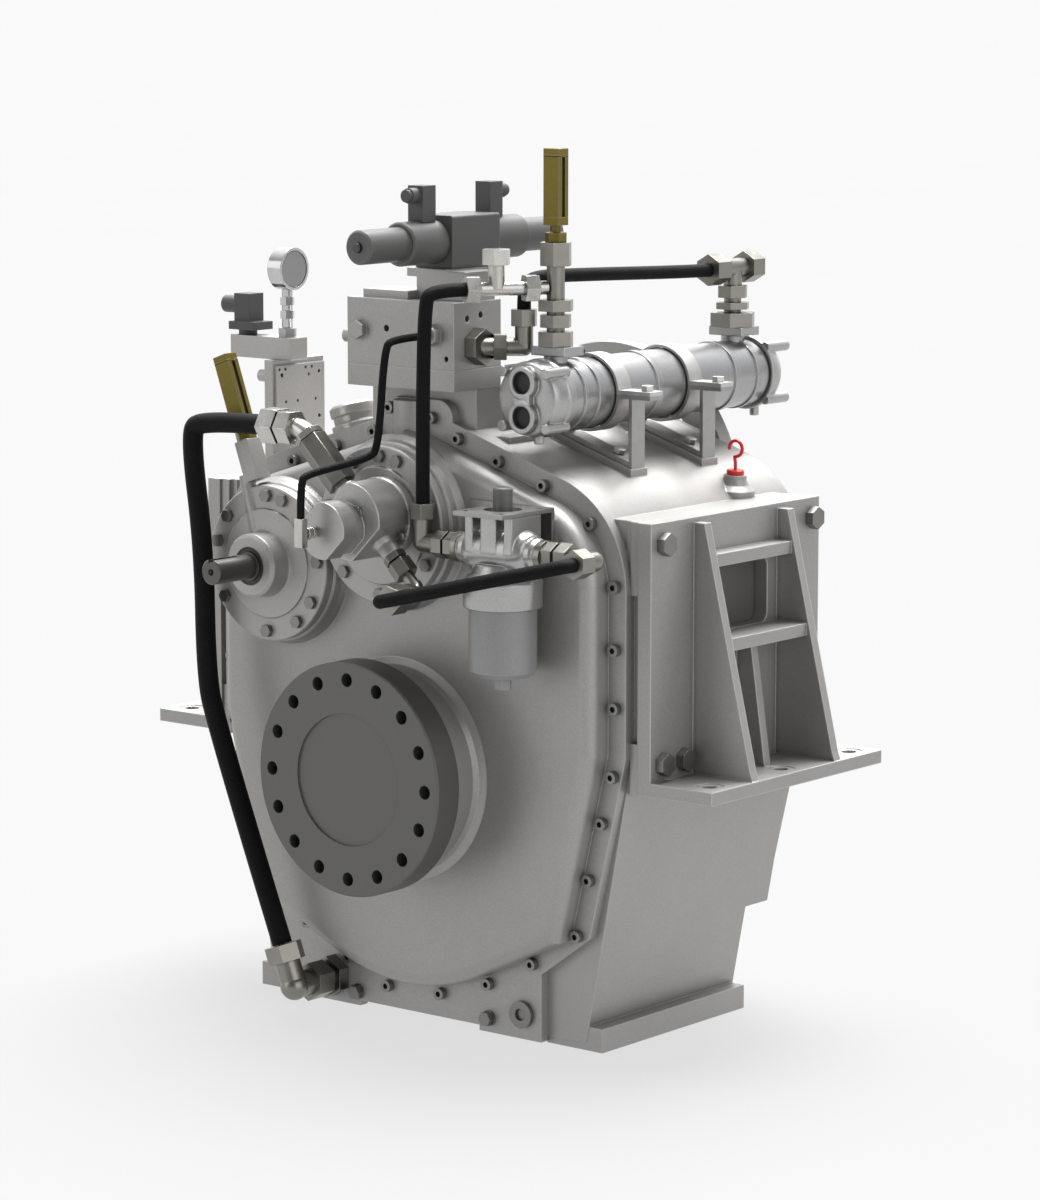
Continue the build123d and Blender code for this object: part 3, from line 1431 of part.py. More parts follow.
save(suction_hose(), "suction_hose")
save(pilot_hose(), "pilot_hose")
save(filter_outlet_hose(), "filter_outlet_hose")
save(pump_outlet_hose(), "pump_outlet_hose")
save(cooler_return_hose(), "cooler_return_hose")
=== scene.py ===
import math

import bmesh
import bpy
from mathutils import Matrix, Vector


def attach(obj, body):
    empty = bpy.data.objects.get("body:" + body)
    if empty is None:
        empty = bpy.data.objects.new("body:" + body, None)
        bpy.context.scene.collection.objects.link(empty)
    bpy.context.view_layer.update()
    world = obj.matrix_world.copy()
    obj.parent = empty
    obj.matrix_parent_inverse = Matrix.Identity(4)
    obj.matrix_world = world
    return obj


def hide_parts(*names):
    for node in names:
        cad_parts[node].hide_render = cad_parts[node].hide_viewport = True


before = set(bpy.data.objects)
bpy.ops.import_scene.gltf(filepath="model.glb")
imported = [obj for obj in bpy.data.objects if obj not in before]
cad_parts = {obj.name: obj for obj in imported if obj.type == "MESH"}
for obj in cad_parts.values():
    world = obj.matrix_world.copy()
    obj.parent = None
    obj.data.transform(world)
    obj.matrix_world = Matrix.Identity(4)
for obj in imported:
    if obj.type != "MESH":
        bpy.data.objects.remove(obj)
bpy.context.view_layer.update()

# Studio: the gearbox stands on its two foot bars on a wide, pale floor. The main soft sun stands
# high behind it, a weak one at the left front and a wide one at the right, and the air is
# brightest at the left rear, so the tops of the castings shine and no side is black.
FLOOR_Z = -0.383
FLOOR_GAP = 0.0005


def shader_node(tree, kind, settings=None, **sockets):
    """New node with its sockets joined or set; _3 is the socket with that number."""
    node = tree.nodes.new(kind)
    for key, value in (settings or {}).items():
        setattr(node, key, value)
    for key, value in sockets.items():
        socket = node.inputs[int(key[1:])] if key[0] == "_" else node.inputs[key.replace("_", " ")]
        if isinstance(value, bpy.types.NodeSocket):
            tree.links.new(value, socket)
        else:
            socket.default_value = value
    return node


def new_finish(name):
    """New material, its node tree and its main shader."""
    finish = bpy.data.materials.new(name)
    finish.use_nodes = True
    tree = finish.node_tree
    return finish, tree, tree.nodes["Principled BSDF"]


def studio_paper():
    finish, tree, shader = new_finish("studio_paper")
    place = shader_node(tree, "ShaderNodeTexCoord").outputs["Object"]
    cloud = shader_node(tree, "ShaderNodeTexNoise", Vector=place, Scale=0.8, Detail=2.0)
    tone = shader_node(tree, "ShaderNodeMix", {"data_type": "RGBA"}, _0=cloud.outputs[0],
        _6=(0.066, 0.066, 0.066, 1), _7=(0.072, 0.072, 0.072, 1))
    tree.links.new(tone.outputs[2], shader.inputs["Base Color"])
    shader.inputs["Roughness"].default_value = 1.0
    shader.inputs["Specular IOR Level"].default_value = 0.0
    shader.inputs["Emission Color"].default_value = (1.0, 1.0, 1.0, 1)
    shader.inputs["Emission Strength"].default_value = 0.695
    return finish


def studio_floor(half_side=400.0):
    mesh = bpy.data.meshes.new("studio_floor")
    corners = [(-half_side, -half_side, 0.0), (half_side, -half_side, 0.0), (half_side, half_side, 0.0),
        (-half_side, half_side, 0.0)]
    mesh.from_pydata(corners, [], [(0, 1, 2, 3)])
    floor = bpy.data.objects.new("studio_floor", mesh)
    bpy.context.collection.objects.link(floor)
    floor.location = (0.0, 0.0, FLOOR_Z - FLOOR_GAP)
    mesh.materials.append(studio_paper())


studio_floor()


def soft_sun(name, towards, angle, power):
    lamp = bpy.data.lights.new(name, "SUN")
    lamp.angle = math.radians(angle)
    lamp.energy = power
    holder = bpy.data.objects.new(name, lamp)
    bpy.context.collection.objects.link(holder)
    holder.rotation_euler = Vector(towards).to_track_quat("-Z", "Y").to_euler()


soft_sun("high_sun", (0.15, -0.35, -1.0), angle=45.0, power=9.4)
soft_sun("left_sun", (0.55, 0.85, -0.35), angle=40.0, power=0.50)
soft_sun("right_sun", (-1.0, 0.15, -0.3), angle=60.0, power=1.05)


def studio_air(back=(-0.63, 0.776, 0.25)):
    world = bpy.data.worlds.new("studio_air")
    bpy.context.scene.world = world
    world.use_nodes = True
    tree = world.node_tree
    look = shader_node(tree, "ShaderNodeTexCoord").outputs["Generated"]
    facing = shader_node(tree, "ShaderNodeVectorMath", {"operation": "DOT_PRODUCT"}, _0=look, _1=back)
    glow = shader_node(tree, "ShaderNodeMapRange", {"interpolation_type": "SMOOTHSTEP"},
        Value=facing.outputs["Value"], From_Min=-0.1, From_Max=0.95, To_Min=0.28, To_Max=1.6)
    air = tree.nodes["Background"]
    air.inputs["Color"].default_value = (0.97, 0.975, 1.0, 1)
    tree.links.new(glow.outputs[0], air.inputs["Strength"])


studio_air()
bpy.context.scene.view_settings.view_transform = "Standard"

PHOTO_LENS = 125.85
CAMERA_PLACE = (3.9077, -4.4166, 1.1623)
CAMERA_TILT = 81.3
CAMERA_HEADING = 39.1
camera = bpy.data.cameras.new("camera")
camera.lens = PHOTO_LENS
camera.sensor_width = 36.0
camera_holder = bpy.data.objects.new("camera", camera)
bpy.context.collection.objects.link(camera_holder)
camera_holder.location = CAMERA_PLACE
camera_holder.rotation_euler = (math.radians(CAMERA_TILT), 0.0, math.radians(CAMERA_HEADING))
bpy.context.scene.camera = camera_holder


# Hydraulic hoses: wire-braided hose with a black textile cover, each screwed on a nut at both
# ends and stiff enough to keep its bends without clips.
def textile_rubber():
    finish, tree, shader = new_finish("textile_rubber")
    place = shader_node(tree, "ShaderNodeTexCoord").outputs["Object"]
    threads = shader_node(tree, "ShaderNodeTexVoronoi", Vector=place, Scale=620.0)
    cloud = shader_node(tree, "ShaderNodeTexNoise", Vector=place, Scale=40.0, Detail=4.0)
    tone = shader_node(tree, "ShaderNodeMix", {"data_type": "RGBA"}, _0=cloud.outputs[0],
        _6=(0.003, 0.003, 0.003, 1), _7=(0.008, 0.008, 0.008, 1))
    tree.links.new(tone.outputs[2], shader.inputs["Base Color"])
    raised = shader_node(tree, "ShaderNodeBump", Height=threads.outputs["Distance"], Strength=0.8,
        Distance=0.0008)
    tree.links.new(raised.outputs[0], shader.inputs["Normal"])
    shader.inputs["Roughness"].default_value = 0.6
    shader.inputs["Specular IOR Level"].default_value = 0.10
    return finish


HOSE_COVER = textile_rubber()


def hose(name, points, radius):
    """Hose along control points in metres, from its first fitting to its last."""
    curve = bpy.data.curves.new(name, "CURVE")
    curve.dimensions = "3D"
    curve.bevel_depth = radius
    curve.bevel_resolution = 6
    curve.resolution_u = 16
    spline = curve.splines.new("NURBS")
    spline.points.add(len(points) - 1)
    for control, point in zip(spline.points, points):
        control.co = (*point, 1.0)
    spline.order_u = 3
    spline.use_endpoint_u = True
    piece = bpy.data.objects.new(name, curve)
    bpy.context.collection.objects.link(piece)
    curve.materials.append(HOSE_COVER)
    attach(piece, "housing")
    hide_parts(name.replace("_line", "_hose"))
    return piece


hose("suction_line", [
    (-0.1521, 0.030, 0.4958), (-0.309, 0.030, 0.4958), (-0.332, 0.032, 0.471), (-0.319, 0.045, 0.300),
    (-0.317, 0.045, 0.118), (-0.302, 0.047, 0.045), (-0.1871, 0.0644, -0.2796),
], radius=0.015)
hose("pilot_line", [
    (-0.006, -0.088, 0.386), (-0.006, -0.088, 0.437), (-0.002, -0.079, 0.448), (0.038, 0.007, 0.465),
    (0.045, 0.020, 0.480), (0.055, 0.022, 0.620), (0.058, 0.037, 0.633), (0.063, 0.106, 0.633),
], radius=0.0055)
hose("filter_outlet_line", [
    (0.097, 0.055, 0.402), (0.097, 0.055, 0.684), (0.107, 0.069, 0.702), (0.1322, 0.1060, 0.702),
], radius=0.010)
hose("pump_outlet_line", [
    (0.1138, -0.046, 0.2759), (0.1138, -0.060, 0.2759), (0.128, -0.071, 0.279), (0.395, -0.014, 0.344),
    (0.404, -0.002, 0.346), (0.404, 0.009, 0.346),
], radius=0.010)
hose("cooler_return_line", [
    (0.160, 0.204, 0.670), (0.160, 0.204, 0.699), (0.162, 0.219, 0.714), (0.172, 0.290, 0.714),
    (0.208, 0.539, 0.706), (0.208, 0.577, 0.706),
], radius=0.010)


# Gear case: sand-cast halves, front cover, rear cover and engine housing ring, blasted and
# sprayed with a thin silver-grey paint. The brackets and the round covers have the same coat.
def cast_skin(name, tone, metallic=0.55, roughness=0.42, grain=0.35, wear=0.25):
    """Cloudy tone, sand grain, rubbed edges and painted shade darkening the corners."""
    finish, tree, shader = new_finish(name)
    place = shader_node(tree, "ShaderNodeTexCoord").outputs["Object"]
    cloud = shader_node(tree, "ShaderNodeTexNoise", Vector=place, Scale=7.0, Detail=6.0, Roughness=0.6)
    sand = shader_node(tree, "ShaderNodeTexNoise", Vector=place, Scale=520.0, Detail=3.0, Roughness=0.7)
    dark = tuple(0.86 * part for part in tone) + (1,)
    light = tuple(min(1.0, 1.06 * part) for part in tone) + (1,)
    base = shader_node(tree, "ShaderNodeMix", {"data_type": "RGBA"}, _0=cloud.outputs[0], _6=dark,
        _7=light)
    speck = shader_node(tree, "ShaderNodeMapRange", Value=sand.outputs[0], From_Min=0.35, From_Max=0.65,
        To_Min=0.90, To_Max=1.07)
    grainy = shader_node(tree, "ShaderNodeVectorMath", {"operation": "SCALE"}, _0=base.outputs[2],
        Scale=speck.outputs[0])
    rounded = shader_node(tree, "ShaderNodeBevel", {"samples": 6}, Radius=0.0028)
    flat = shader_node(tree, "ShaderNodeNewGeometry")
    turn = shader_node(tree, "ShaderNodeVectorMath", {"operation": "DOT_PRODUCT"},
        _0=rounded.outputs[0], _1=flat.outputs["Normal"])
    edge = shader_node(tree, "ShaderNodeMapRange", Value=turn.outputs["Value"], From_Min=0.995,
        From_Max=0.90, To_Min=0.0, To_Max=wear)
    worn = shader_node(tree, "ShaderNodeMix", {"data_type": "RGBA"}, _0=edge.outputs[0],
        _6=grainy.outputs[0], _7=(0.80, 0.79, 0.77, 1))
    # Painted shade: the colour is darkened where ambient occlusion finds nearby faces, in corners and
    # recesses.
    corner = shader_node(tree, "ShaderNodeAmbientOcclusion", {"samples": 4, "only_local": True},
        Distance=0.010)
    corner_shade = shader_node(tree, "ShaderNodeMapRange", Value=corner.outputs["AO"], From_Min=0.35,
        From_Max=0.85, To_Min=0.55, To_Max=1.0)
    shaded_coat = shader_node(tree, "ShaderNodeVectorMath", {"operation": "SCALE"}, _0=worn.outputs[2],
        Scale=corner_shade.outputs[0])
    tree.links.new(shaded_coat.outputs[0], shader.inputs["Base Color"])
    raised = shader_node(tree, "ShaderNodeBump", Height=sand.outputs[0], Normal=rounded.outputs[0],
        Strength=grain, Distance=0.0006)
    tree.links.new(raised.outputs[0], shader.inputs["Normal"])
    patch = shader_node(tree, "ShaderNodeMapRange", Value=cloud.outputs[0], To_Min=roughness - 0.08,
        To_Max=roughness + 0.10)
    tree.links.new(patch.outputs[0], shader.inputs["Roughness"])
    shader.inputs["Metallic"].default_value = metallic
    return finish


def dress(finish, *nodes):
    """Give one finish to nodes of the CAD, which keep their shapes."""
    for name in nodes:
        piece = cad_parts[name]
        if not piece.material_slots:
            piece.data.materials.append(finish)
        for place in piece.material_slots:
            place.material = finish


silver_coat = cast_skin("silver_coat", (0.36, 0.352, 0.338))
dress(silver_coat, "main_casing", "front_cover", "rear_cover", "bell_housing", "breather_cap")
dress(cast_skin("bracket_coat", (0.345, 0.337, 0.323), grain=0.25, wear=0.5), "right_bracket",
    "left_bracket")
cover_coat = cast_skin("cover_coat", (0.38, 0.372, 0.356), grain=0.2)
dress(cover_coat, "pump_cover")


# Fasteners: hexagon bolts with dull zinc plating in the covers and brackets, and socket screws in
# the rim of the front cover, their sockets darkened by painted shade.
def plated_steel(name, tone, roughness=0.32, metallic=1.0, grain=0.15):
    """Smeared bright tone with a fine grain, and painted shade darkening the corners."""
    finish, tree, shader = new_finish(name)
    place = shader_node(tree, "ShaderNodeTexCoord").outputs["Object"]
    smear = shader_node(tree, "ShaderNodeTexNoise", Vector=place, Scale=45.0, Detail=5.0)
    fine = shader_node(tree, "ShaderNodeTexNoise", Vector=place, Scale=900.0, Detail=2.0)
    dark = tuple(0.78 * part for part in tone) + (1,)
    light = tuple(min(1.0, 1.12 * part) for part in tone) + (1,)
    base = shader_node(tree, "ShaderNodeMix", {"data_type": "RGBA"}, _0=smear.outputs[0], _6=dark,
        _7=light)
    # Painted shade: the colour is darkened strongly where ambient occlusion finds nearby faces, in
    # corners and screw sockets.
    corner = shader_node(tree, "ShaderNodeAmbientOcclusion", {"samples": 4}, Distance=0.006)
    corner_shade = shader_node(tree, "ShaderNodeMapRange", Value=corner.outputs["AO"], From_Min=0.25,
        From_Max=0.75, To_Min=0.15, To_Max=1.0)
    shaded_plate = shader_node(tree, "ShaderNodeVectorMath", {"operation": "SCALE"}, _0=base.outputs[2],
        Scale=corner_shade.outputs[0])
    tree.links.new(shaded_plate.outputs[0], shader.inputs["Base Color"])
    rounded = shader_node(tree, "ShaderNodeBevel", {"samples": 6}, Radius=0.0009)
    raised = shader_node(tree, "ShaderNodeBump", Height=fine.outputs[0], Normal=rounded.outputs[0],
        Strength=grain, Distance=0.0003)
    tree.links.new(raised.outputs[0], shader.inputs["Normal"])
    patch = shader_node(tree, "ShaderNodeMapRange", Value=smear.outputs[0], To_Min=roughness - 0.1,
        To_Max=roughness + 0.12)
    tree.links.new(patch.outputs[0], shader.inputs["Roughness"])
    shader.inputs["Metallic"].default_value = metallic
    return finish


dress(plated_steel("zinc_bolt", (0.24, 0.236, 0.228), roughness=0.40), "bracket_bolts", "cover_bolts",
    "drain_plugs")
dress(plated_steel("black_screw", (0.26, 0.26, 0.255), roughness=0.36), "rim_screws")


# Output flange and shafts: forged steel, turned and left bare under a film of oil, so they look
# dark grey with fine rings round the shaft's line. They run in the bearings of the casing.
def turned_steel(name, tone, centre, roughness=0.38, ring_pitch=2600.0):
    """Bare steel with fine rings round the line through centre along Y."""
    finish, tree, shader = new_finish(name)
    place = shader_node(tree, "ShaderNodeTexCoord").outputs["Object"]
    middle = shader_node(tree, "ShaderNodeVectorMath", {"operation": "SUBTRACT"}, _0=place, _1=centre)
    across = shader_node(tree, "ShaderNodeVectorMath", {"operation": "MULTIPLY"}, _0=middle.outputs[0],
        _1=(1.0, 0.0, 1.0))
    out = shader_node(tree, "ShaderNodeVectorMath", {"operation": "LENGTH"}, _0=across.outputs[0])
    cloud = shader_node(tree, "ShaderNodeTexNoise", Vector=place, Scale=12.0, Detail=5.0)
    wobble = shader_node(tree, "ShaderNodeMath", {"operation": "MULTIPLY_ADD"}, _0=cloud.outputs[0],
        _1=0.0006, _2=out.outputs["Value"])
    rings = shader_node(tree, "ShaderNodeMath", {"operation": "MULTIPLY"}, _0=wobble.outputs[0],
        _1=ring_pitch)
    wave = shader_node(tree, "ShaderNodeMath", {"operation": "SINE"}, _0=rings.outputs[0])
    dark = tuple(0.86 * part for part in tone) + (1,)
    light = tuple(min(1.0, 1.1 * part) for part in tone) + (1,)
    base = shader_node(tree, "ShaderNodeMix", {"data_type": "RGBA"}, _0=cloud.outputs[0], _6=dark,
        _7=light)
    tree.links.new(base.outputs[2], shader.inputs["Base Color"])
    rounded = shader_node(tree, "ShaderNodeBevel", {"samples": 6}, Radius=0.0014)
    raised = shader_node(tree, "ShaderNodeBump", Height=wave.outputs[0], Normal=rounded.outputs[0],
        Strength=0.12, Distance=0.0002)
    tree.links.new(raised.outputs[0], shader.inputs["Normal"])
    patch = shader_node(tree, "ShaderNodeMapRange", Value=cloud.outputs[0], To_Min=roughness - 0.06,
        To_Max=roughness + 0.1)
    tree.links.new(patch.outputs[0], shader.inputs["Roughness"])
    shader.inputs["Metallic"].default_value = 0.8
    return finish


dress(turned_steel("flange_steel", (0.135, 0.133, 0.128), centre=(0.0, 0.0, 0.0), roughness=0.5),
    "output_shaft")
dress(turned_steel("stub_steel", (0.11, 0.107, 0.10), centre=(-0.2196, 0.0, 0.2852), roughness=0.36),
    "astern_shaft")
dress(turned_steel("input_steel", (0.30, 0.30, 0.30), centre=(0.0, 0.0, 0.36), roughness=0.34),
    "input_shaft", "pump_drive_gear", "ahead_clutch_drum")


# Gears and bearings inside the case: case-hardened steel, hobbed, ground bright and wet with oil.
# They sit on the shafts and show only where the case is opened.
dress(plated_steel("ground_steel", (0.45, 0.45, 0.46), roughness=0.24), "bull_gear", "ahead_pinion",
    "astern_pinion", "astern_clutch_drum", "pump_driven_gear", "shaft_bearings")


# Lip seals round the two shafts: black oil-proof rubber moulded on a steel ring and pressed into
# the bores of the covers.
def seal_rubber():
    finish, tree, shader = new_finish("seal_rubber")
    place = shader_node(tree, "ShaderNodeTexCoord").outputs["Object"]
    dust = shader_node(tree, "ShaderNodeTexNoise", Vector=place, Scale=160.0, Detail=4.0)
    tone = shader_node(tree, "ShaderNodeMix", {"data_type": "RGBA"}, _0=dust.outputs[0],
        _6=(0.012, 0.012, 0.012, 1), _7=(0.045, 0.044, 0.042, 1))
    tree.links.new(tone.outputs[2], shader.inputs["Base Color"])
    raised = shader_node(tree, "ShaderNodeBump", Height=dust.outputs[0], Strength=0.2, Distance=0.0003)
    tree.links.new(raised.outputs[0], shader.inputs["Normal"])
    shader.inputs["Roughness"].default_value = 0.55
    return finish


dress(seal_rubber(), "shaft_seals")


# Gear pump: die-cast aluminium nose, gear housing and mounting flange, with a flat towards each
# port, a turned boss at the pressure port and four short hexagon bolts in the flange.
# Its sizes, and those of every piece made below, are in millimetres.
MILLIMETRE = 0.001
RIGHT, LEFT = (1, 0, 0), (-1, 0, 0)
BACK, FRONT = (0, 1, 0), (0, -1, 0)
UP, DOWN = (0, 0, 1), (0, 0, -1)


def setting(place, along, side=None):
    """Frame in millimetres at a place, with its upward line along the given direction."""
    up = Vector(along).normalized()
    across = Vector(side) if side else up.orthogonal()
    across = (across - across.dot(up) * up).normalized()
    turn = Matrix((across, up.cross(across), up)).transposed().to_4x4()
    return Matrix.Translation(Vector(place)) @ turn


def skin_rows(form, rows, closed):
    """Faces between each row of corners and the next; a row of one corner is a tip."""
    pairs = list(zip(rows, rows[1:])) + ([(rows[-1], rows[0])] if closed else [])
    for low, high in pairs:
        for k in range(max(len(low), len(high))):
            here, after = k, k + 1
            corners = [
                low[here % len(low)], low[after % len(low)],
                high[after % len(high)], high[here % len(high)],
            ]
            distinct = list(dict.fromkeys(corners))
            if len(distinct) > 2:
                form.faces.new(distinct)


def row_of(form, frame_here, outline, height=0.0):
    """Row of corners, placed in millimetres and stored in metres."""
    return [form.verts.new(MILLIMETRE * (frame_here @ Vector((x, y, height)))) for x, y in outline]


def circle(radius, steps):
    """Corners spaced evenly round a circle."""
    turns = [math.tau * k / steps for k in range(steps)]
    return [(radius * math.cos(turn), radius * math.sin(turn)) for turn in turns]


def cap_ends(form, rows):
    """A face over the first row and one over the last."""
    form.faces.new(list(reversed(rows[0])))
    form.faces.new(rows[-1])


def turned_form(form, place, along, profile, sides=48):
    """Profile of (radius, height) pairs turned round a line; a profile off the line is closed."""
    frame_here = setting(place, along)
    rows = [
        row_of(form, frame_here, circle(radius, sides if radius > 0 else 1), height)
        for radius, height in profile
    ]
    skin_rows(form, rows, profile[0][0] > 0 and profile[-1][0] > 0)


def straight_form(form, place, along, outline, length, side=None):
    """Outline pushed out along a line; side is the way of the outline's x."""
    frame_here = setting(place, along, side)
    rows = [row_of(form, frame_here, outline, height) for height in (0.0, length)]
    skin_rows(form, rows, False)
    cap_ends(form, rows)


def round_bar(form, place, along, radius, length, edge=1.0):
    turned_form(form, place, along, [
        (0, 0), (radius - edge, 0), (radius, edge), (radius, length - edge), (radius - edge, length),
        (0, length),
    ])


def hexagon(flats):
    return circle(flats / math.sqrt(3), 6)


def hex_bar(form, place, along, flats, length, side=None):
    straight_form(form, place, along, hexagon(flats), length=length, side=side)


def rectangle(half_x, half_y):
    return [(-half_x, -half_y), (half_x, -half_y), (half_x, half_y), (-half_x, half_y)]


def moved(place, along, distance):
    """The place that lies a distance along a way from the given one."""
    return tuple(Vector(place) + distance * Vector(along).normalized())


def flatted_circle(radius, flat, steps=24):
    """Outline of two arcs with a flat between their ends on each side."""
    turn = math.asin(flat / radius)
    turns = [-turn + 2 * turn * k / steps for k in range(steps + 1)]
    return [
        (sign * radius * math.cos(t), sign * radius * math.sin(t)) for sign in (1, -1) for t in turns]


SHARP_ABOVE = math.radians(32)
ROUNDED_ABOVE = math.radians(40)


def made(name, form, finish, replaces=None, body="housing", edge=0.0007):
    """Turn a finished form into a piece with smooth faces and broken edges, in metres."""
    bmesh.ops.recalc_face_normals(form, faces=form.faces)
    mesh = bpy.data.meshes.new(name)
    form.to_mesh(mesh)
    form.free()
    for face in mesh.polygons:
        face.use_smooth = True
    mesh.set_sharp_from_angle(angle=SHARP_ABOVE)
    mesh.materials.append(finish)
    piece = bpy.data.objects.new(name, mesh)
    bpy.context.collection.objects.link(piece)
    rounding = piece.modifiers.new("broken_edges", "BEVEL")
    rounding.width = edge
    rounding.segments = 2
    rounding.limit_method = "ANGLE"
    rounding.angle_limit = ROUNDED_ABOVE
    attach(piece, body)
    if replaces:
        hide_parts(replaces)
    return piece


PUMP_MIDDLE = (14.849, 374.849)
NOSE_MIDDLE = (6, 366)
PORT_FOOT = 36
SUCTION_WAY = (-1, 0, 1)
PRESSURE_WAY = (1, 0, -1)
PUMP_MOUTH = (PUMP_MIDDLE[0], 30.0, PUMP_MIDDLE[1])
pump_finish = cast_skin("pump_aluminium", (0.40, 0.395, 0.385), metallic=0.75, roughness=0.36,
    grain=0.2, wear=0.4)


def pump_section(form, middle, radius, flat, front, rear):
    straight_form(form, (middle[0], front, middle[1]), BACK, flatted_circle(radius, flat),
        length=rear - front, side=(1, 0, 1))


pump = bmesh.new()
pump_section(pump, NOSE_MIDDLE, radius=41, flat=34, front=-57.5, rear=-26)
pump_section(pump, NOSE_MIDDLE, radius=37, flat=33.5, front=-27, rear=-8)
pump_section(pump, PUMP_MIDDLE, radius=56, flat=43, front=-9, rear=57)
round_bar(pump, (PUMP_MIDDLE[0], 55, PUMP_MIDDLE[1]), BACK, radius=58, length=16, edge=1.5)
round_bar(pump, moved(PUMP_MOUTH, SUCTION_WAY, PORT_FOOT), SUCTION_WAY, radius=19, length=22)
turned_form(pump, moved(PUMP_MOUTH, PRESSURE_WAY, PORT_FOOT), PRESSURE_WAY,
    [(0, 0), (20, 0), (20, 7), (15, 14), (15, 32), (0, 32)])
BOLT_ACROSS = 48.5
BOLT_ALONG = 17
BOLT_FOOT = 48
for across in (BOLT_ACROSS, -BOLT_ACROSS):
    for along in (-BOLT_ALONG, BOLT_ALONG):
        foot = (PUMP_MIDDLE[0] + (along + across) / math.sqrt(2), BOLT_FOOT,
            PUMP_MIDDLE[1] + (along - across) / math.sqrt(2))
        hex_bar(pump, foot, BACK, flats=10, length=8)
made("gear_pump", pump, pump_finish, replaces="pump_body")


# Casing wall behind the window of each bracket: a dark sheet that paints the shade in the
# recess, so it is darker and rougher than the coated iron round it.
WINDOW_MIDDLE = (397.126, 369.5, 266.0)
WINDOW_CORNERS = ((54.6, 32.6), (-54.6, 32.6), (-54.6, -32.6), (54.6, -32.6))
WINDOW_ROUNDING = 14
ROUNDING_STEPS = 6
WALL_THICKNESS = 2.2
window_shade = cast_skin("window_shade", (0.125, 0.122, 0.118), metallic=0.4, roughness=0.6, grain=1.0,
    wear=0.0)
for side in (1, -1):
    wall = bmesh.new()
    corners = []
    for quarter, (y, z) in enumerate(WINDOW_CORNERS):
        for k in range(ROUNDING_STEPS + 1):
            turn = math.radians(90 * quarter + 90 * k / ROUNDING_STEPS)
            corners.append((y + WINDOW_ROUNDING * math.cos(turn), z + WINDOW_ROUNDING * math.sin(turn)))
    outline = [(side * y, z) for y, z in corners]
    straight_form(wall, (side * (WINDOW_MIDDLE[0] - 1), *WINDOW_MIDDLE[1:]), (side, 0, 0), outline,
        length=WALL_THICKNESS, side=BACK)
    made("shaded_window_right" if side > 0 else "shaded_window_left", wall, window_shade, edge=0.0003)


# Cover of the power take-off: turned iron with a raised step and a long hub, a cast rib for the
# oil way and the square pocket that the thermometer is screwed into.
HUB = (-219.626, 285.244)
FACE = 75.0
RIB_WAY = (-0.276, 0, 0.961)
POCKET_WAY = (-0.34, 0, 0.94)
POCKET_FOOT = (-246.13, 85.0, 405.39)
take_off = bmesh.new()
turned_form(take_off, (HUB[0], 0, HUB[1]), BACK, [
    (28, FACE - 40), (42, FACE - 40), (47, FACE - 35), (47, FACE - 10), (49, FACE - 6), (53, FACE - 4),
    (80, FACE - 4), (81.5, FACE), (113, FACE), (115, FACE + 2), (115, FACE + 16), (28, FACE + 16),
], sides=96)
round_bar(take_off, moved((HUB[0] - 9, FACE + 5, HUB[1]), RIB_WAY, 42), RIB_WAY, radius=11, length=90)
straight_form(take_off, POCKET_FOOT, POCKET_WAY, rectangle(15, 13), length=61, side=BACK)
made("power_take_off_cover", take_off, cover_coat, replaces="pto_cover",
    edge=0.0012)


# Pipe fittings: machined steel hexagons, nuts and bent elbows with a yellow-grey zinc-nickel
# plating, screwed into the pump, the valve block, the cooler and the sump.
fitting_plate = plated_steel("fitting_plate", (0.27, 0.262, 0.235), roughness=0.32)
dress(fitting_plate, "suction_casing_fitting", "cooler_fittings", "return_fitting", "filter_fittings")
bright_plate = plated_steel("bright_plate", (0.52, 0.51, 0.48), roughness=0.26, grain=0.03)
dress(bright_plate, "supply_tee")


def bent_bar(form, start, corner, end, radius, sides=24, steps=12):
    """Elbow between two straight runs, as a quadratic curve with the corner as its control point."""
    start, corner, end = Vector(start), Vector(corner), Vector(end)
    ways = [corner - start, end - corner]
    rows = []
    for k in range(steps + 1):
        t = k / steps
        middle = (1 - t) ** 2 * start + 2 * t * (1 - t) * corner + t ** 2 * end
        along = (1 - t) * ways[0] + t * ways[1]
        rows.append(row_of(form, setting(middle, along, ways[0].cross(ways[1])), circle(radius, sides)))
    skin_rows(form, rows, False)
    cap_ends(form, rows)


suction_corner = moved(PUMP_MOUTH, SUCTION_WAY, 171)
suction_bar = bmesh.new()
hex_bar(suction_bar, moved(PUMP_MOUTH, SUCTION_WAY, 58), SUCTION_WAY, flats=30, length=8, side=BACK)
hex_bar(suction_bar, moved(PUMP_MOUTH, SUCTION_WAY, 65), SUCTION_WAY, flats=40, length=84, side=BACK)
made("suction_hexagon", suction_bar, fitting_plate,
    replaces="suction_pump_fitting")
suction_elbow = bmesh.new()
round_bar(suction_elbow, moved(PUMP_MOUTH, SUCTION_WAY, 148), SUCTION_WAY, radius=15, length=12)
hex_bar(suction_elbow, moved(PUMP_MOUTH, SUCTION_WAY, 151), SUCTION_WAY, flats=38, length=10, side=BACK)
bent_bar(suction_elbow, moved(suction_corner, SUCTION_WAY, -20), suction_corner,
    moved(suction_corner, LEFT, 20), radius=15)
hex_bar(suction_elbow, moved(suction_corner, LEFT, 14), LEFT, flats=46, length=24, side=BACK)
round_bar(suction_elbow, moved(suction_corner, LEFT, 37), LEFT, radius=19, length=4)
hex_bar(suction_elbow, moved(suction_corner, LEFT, 40), LEFT, flats=50, length=30, side=BACK)
made("suction_elbow", suction_elbow, bright_plate)

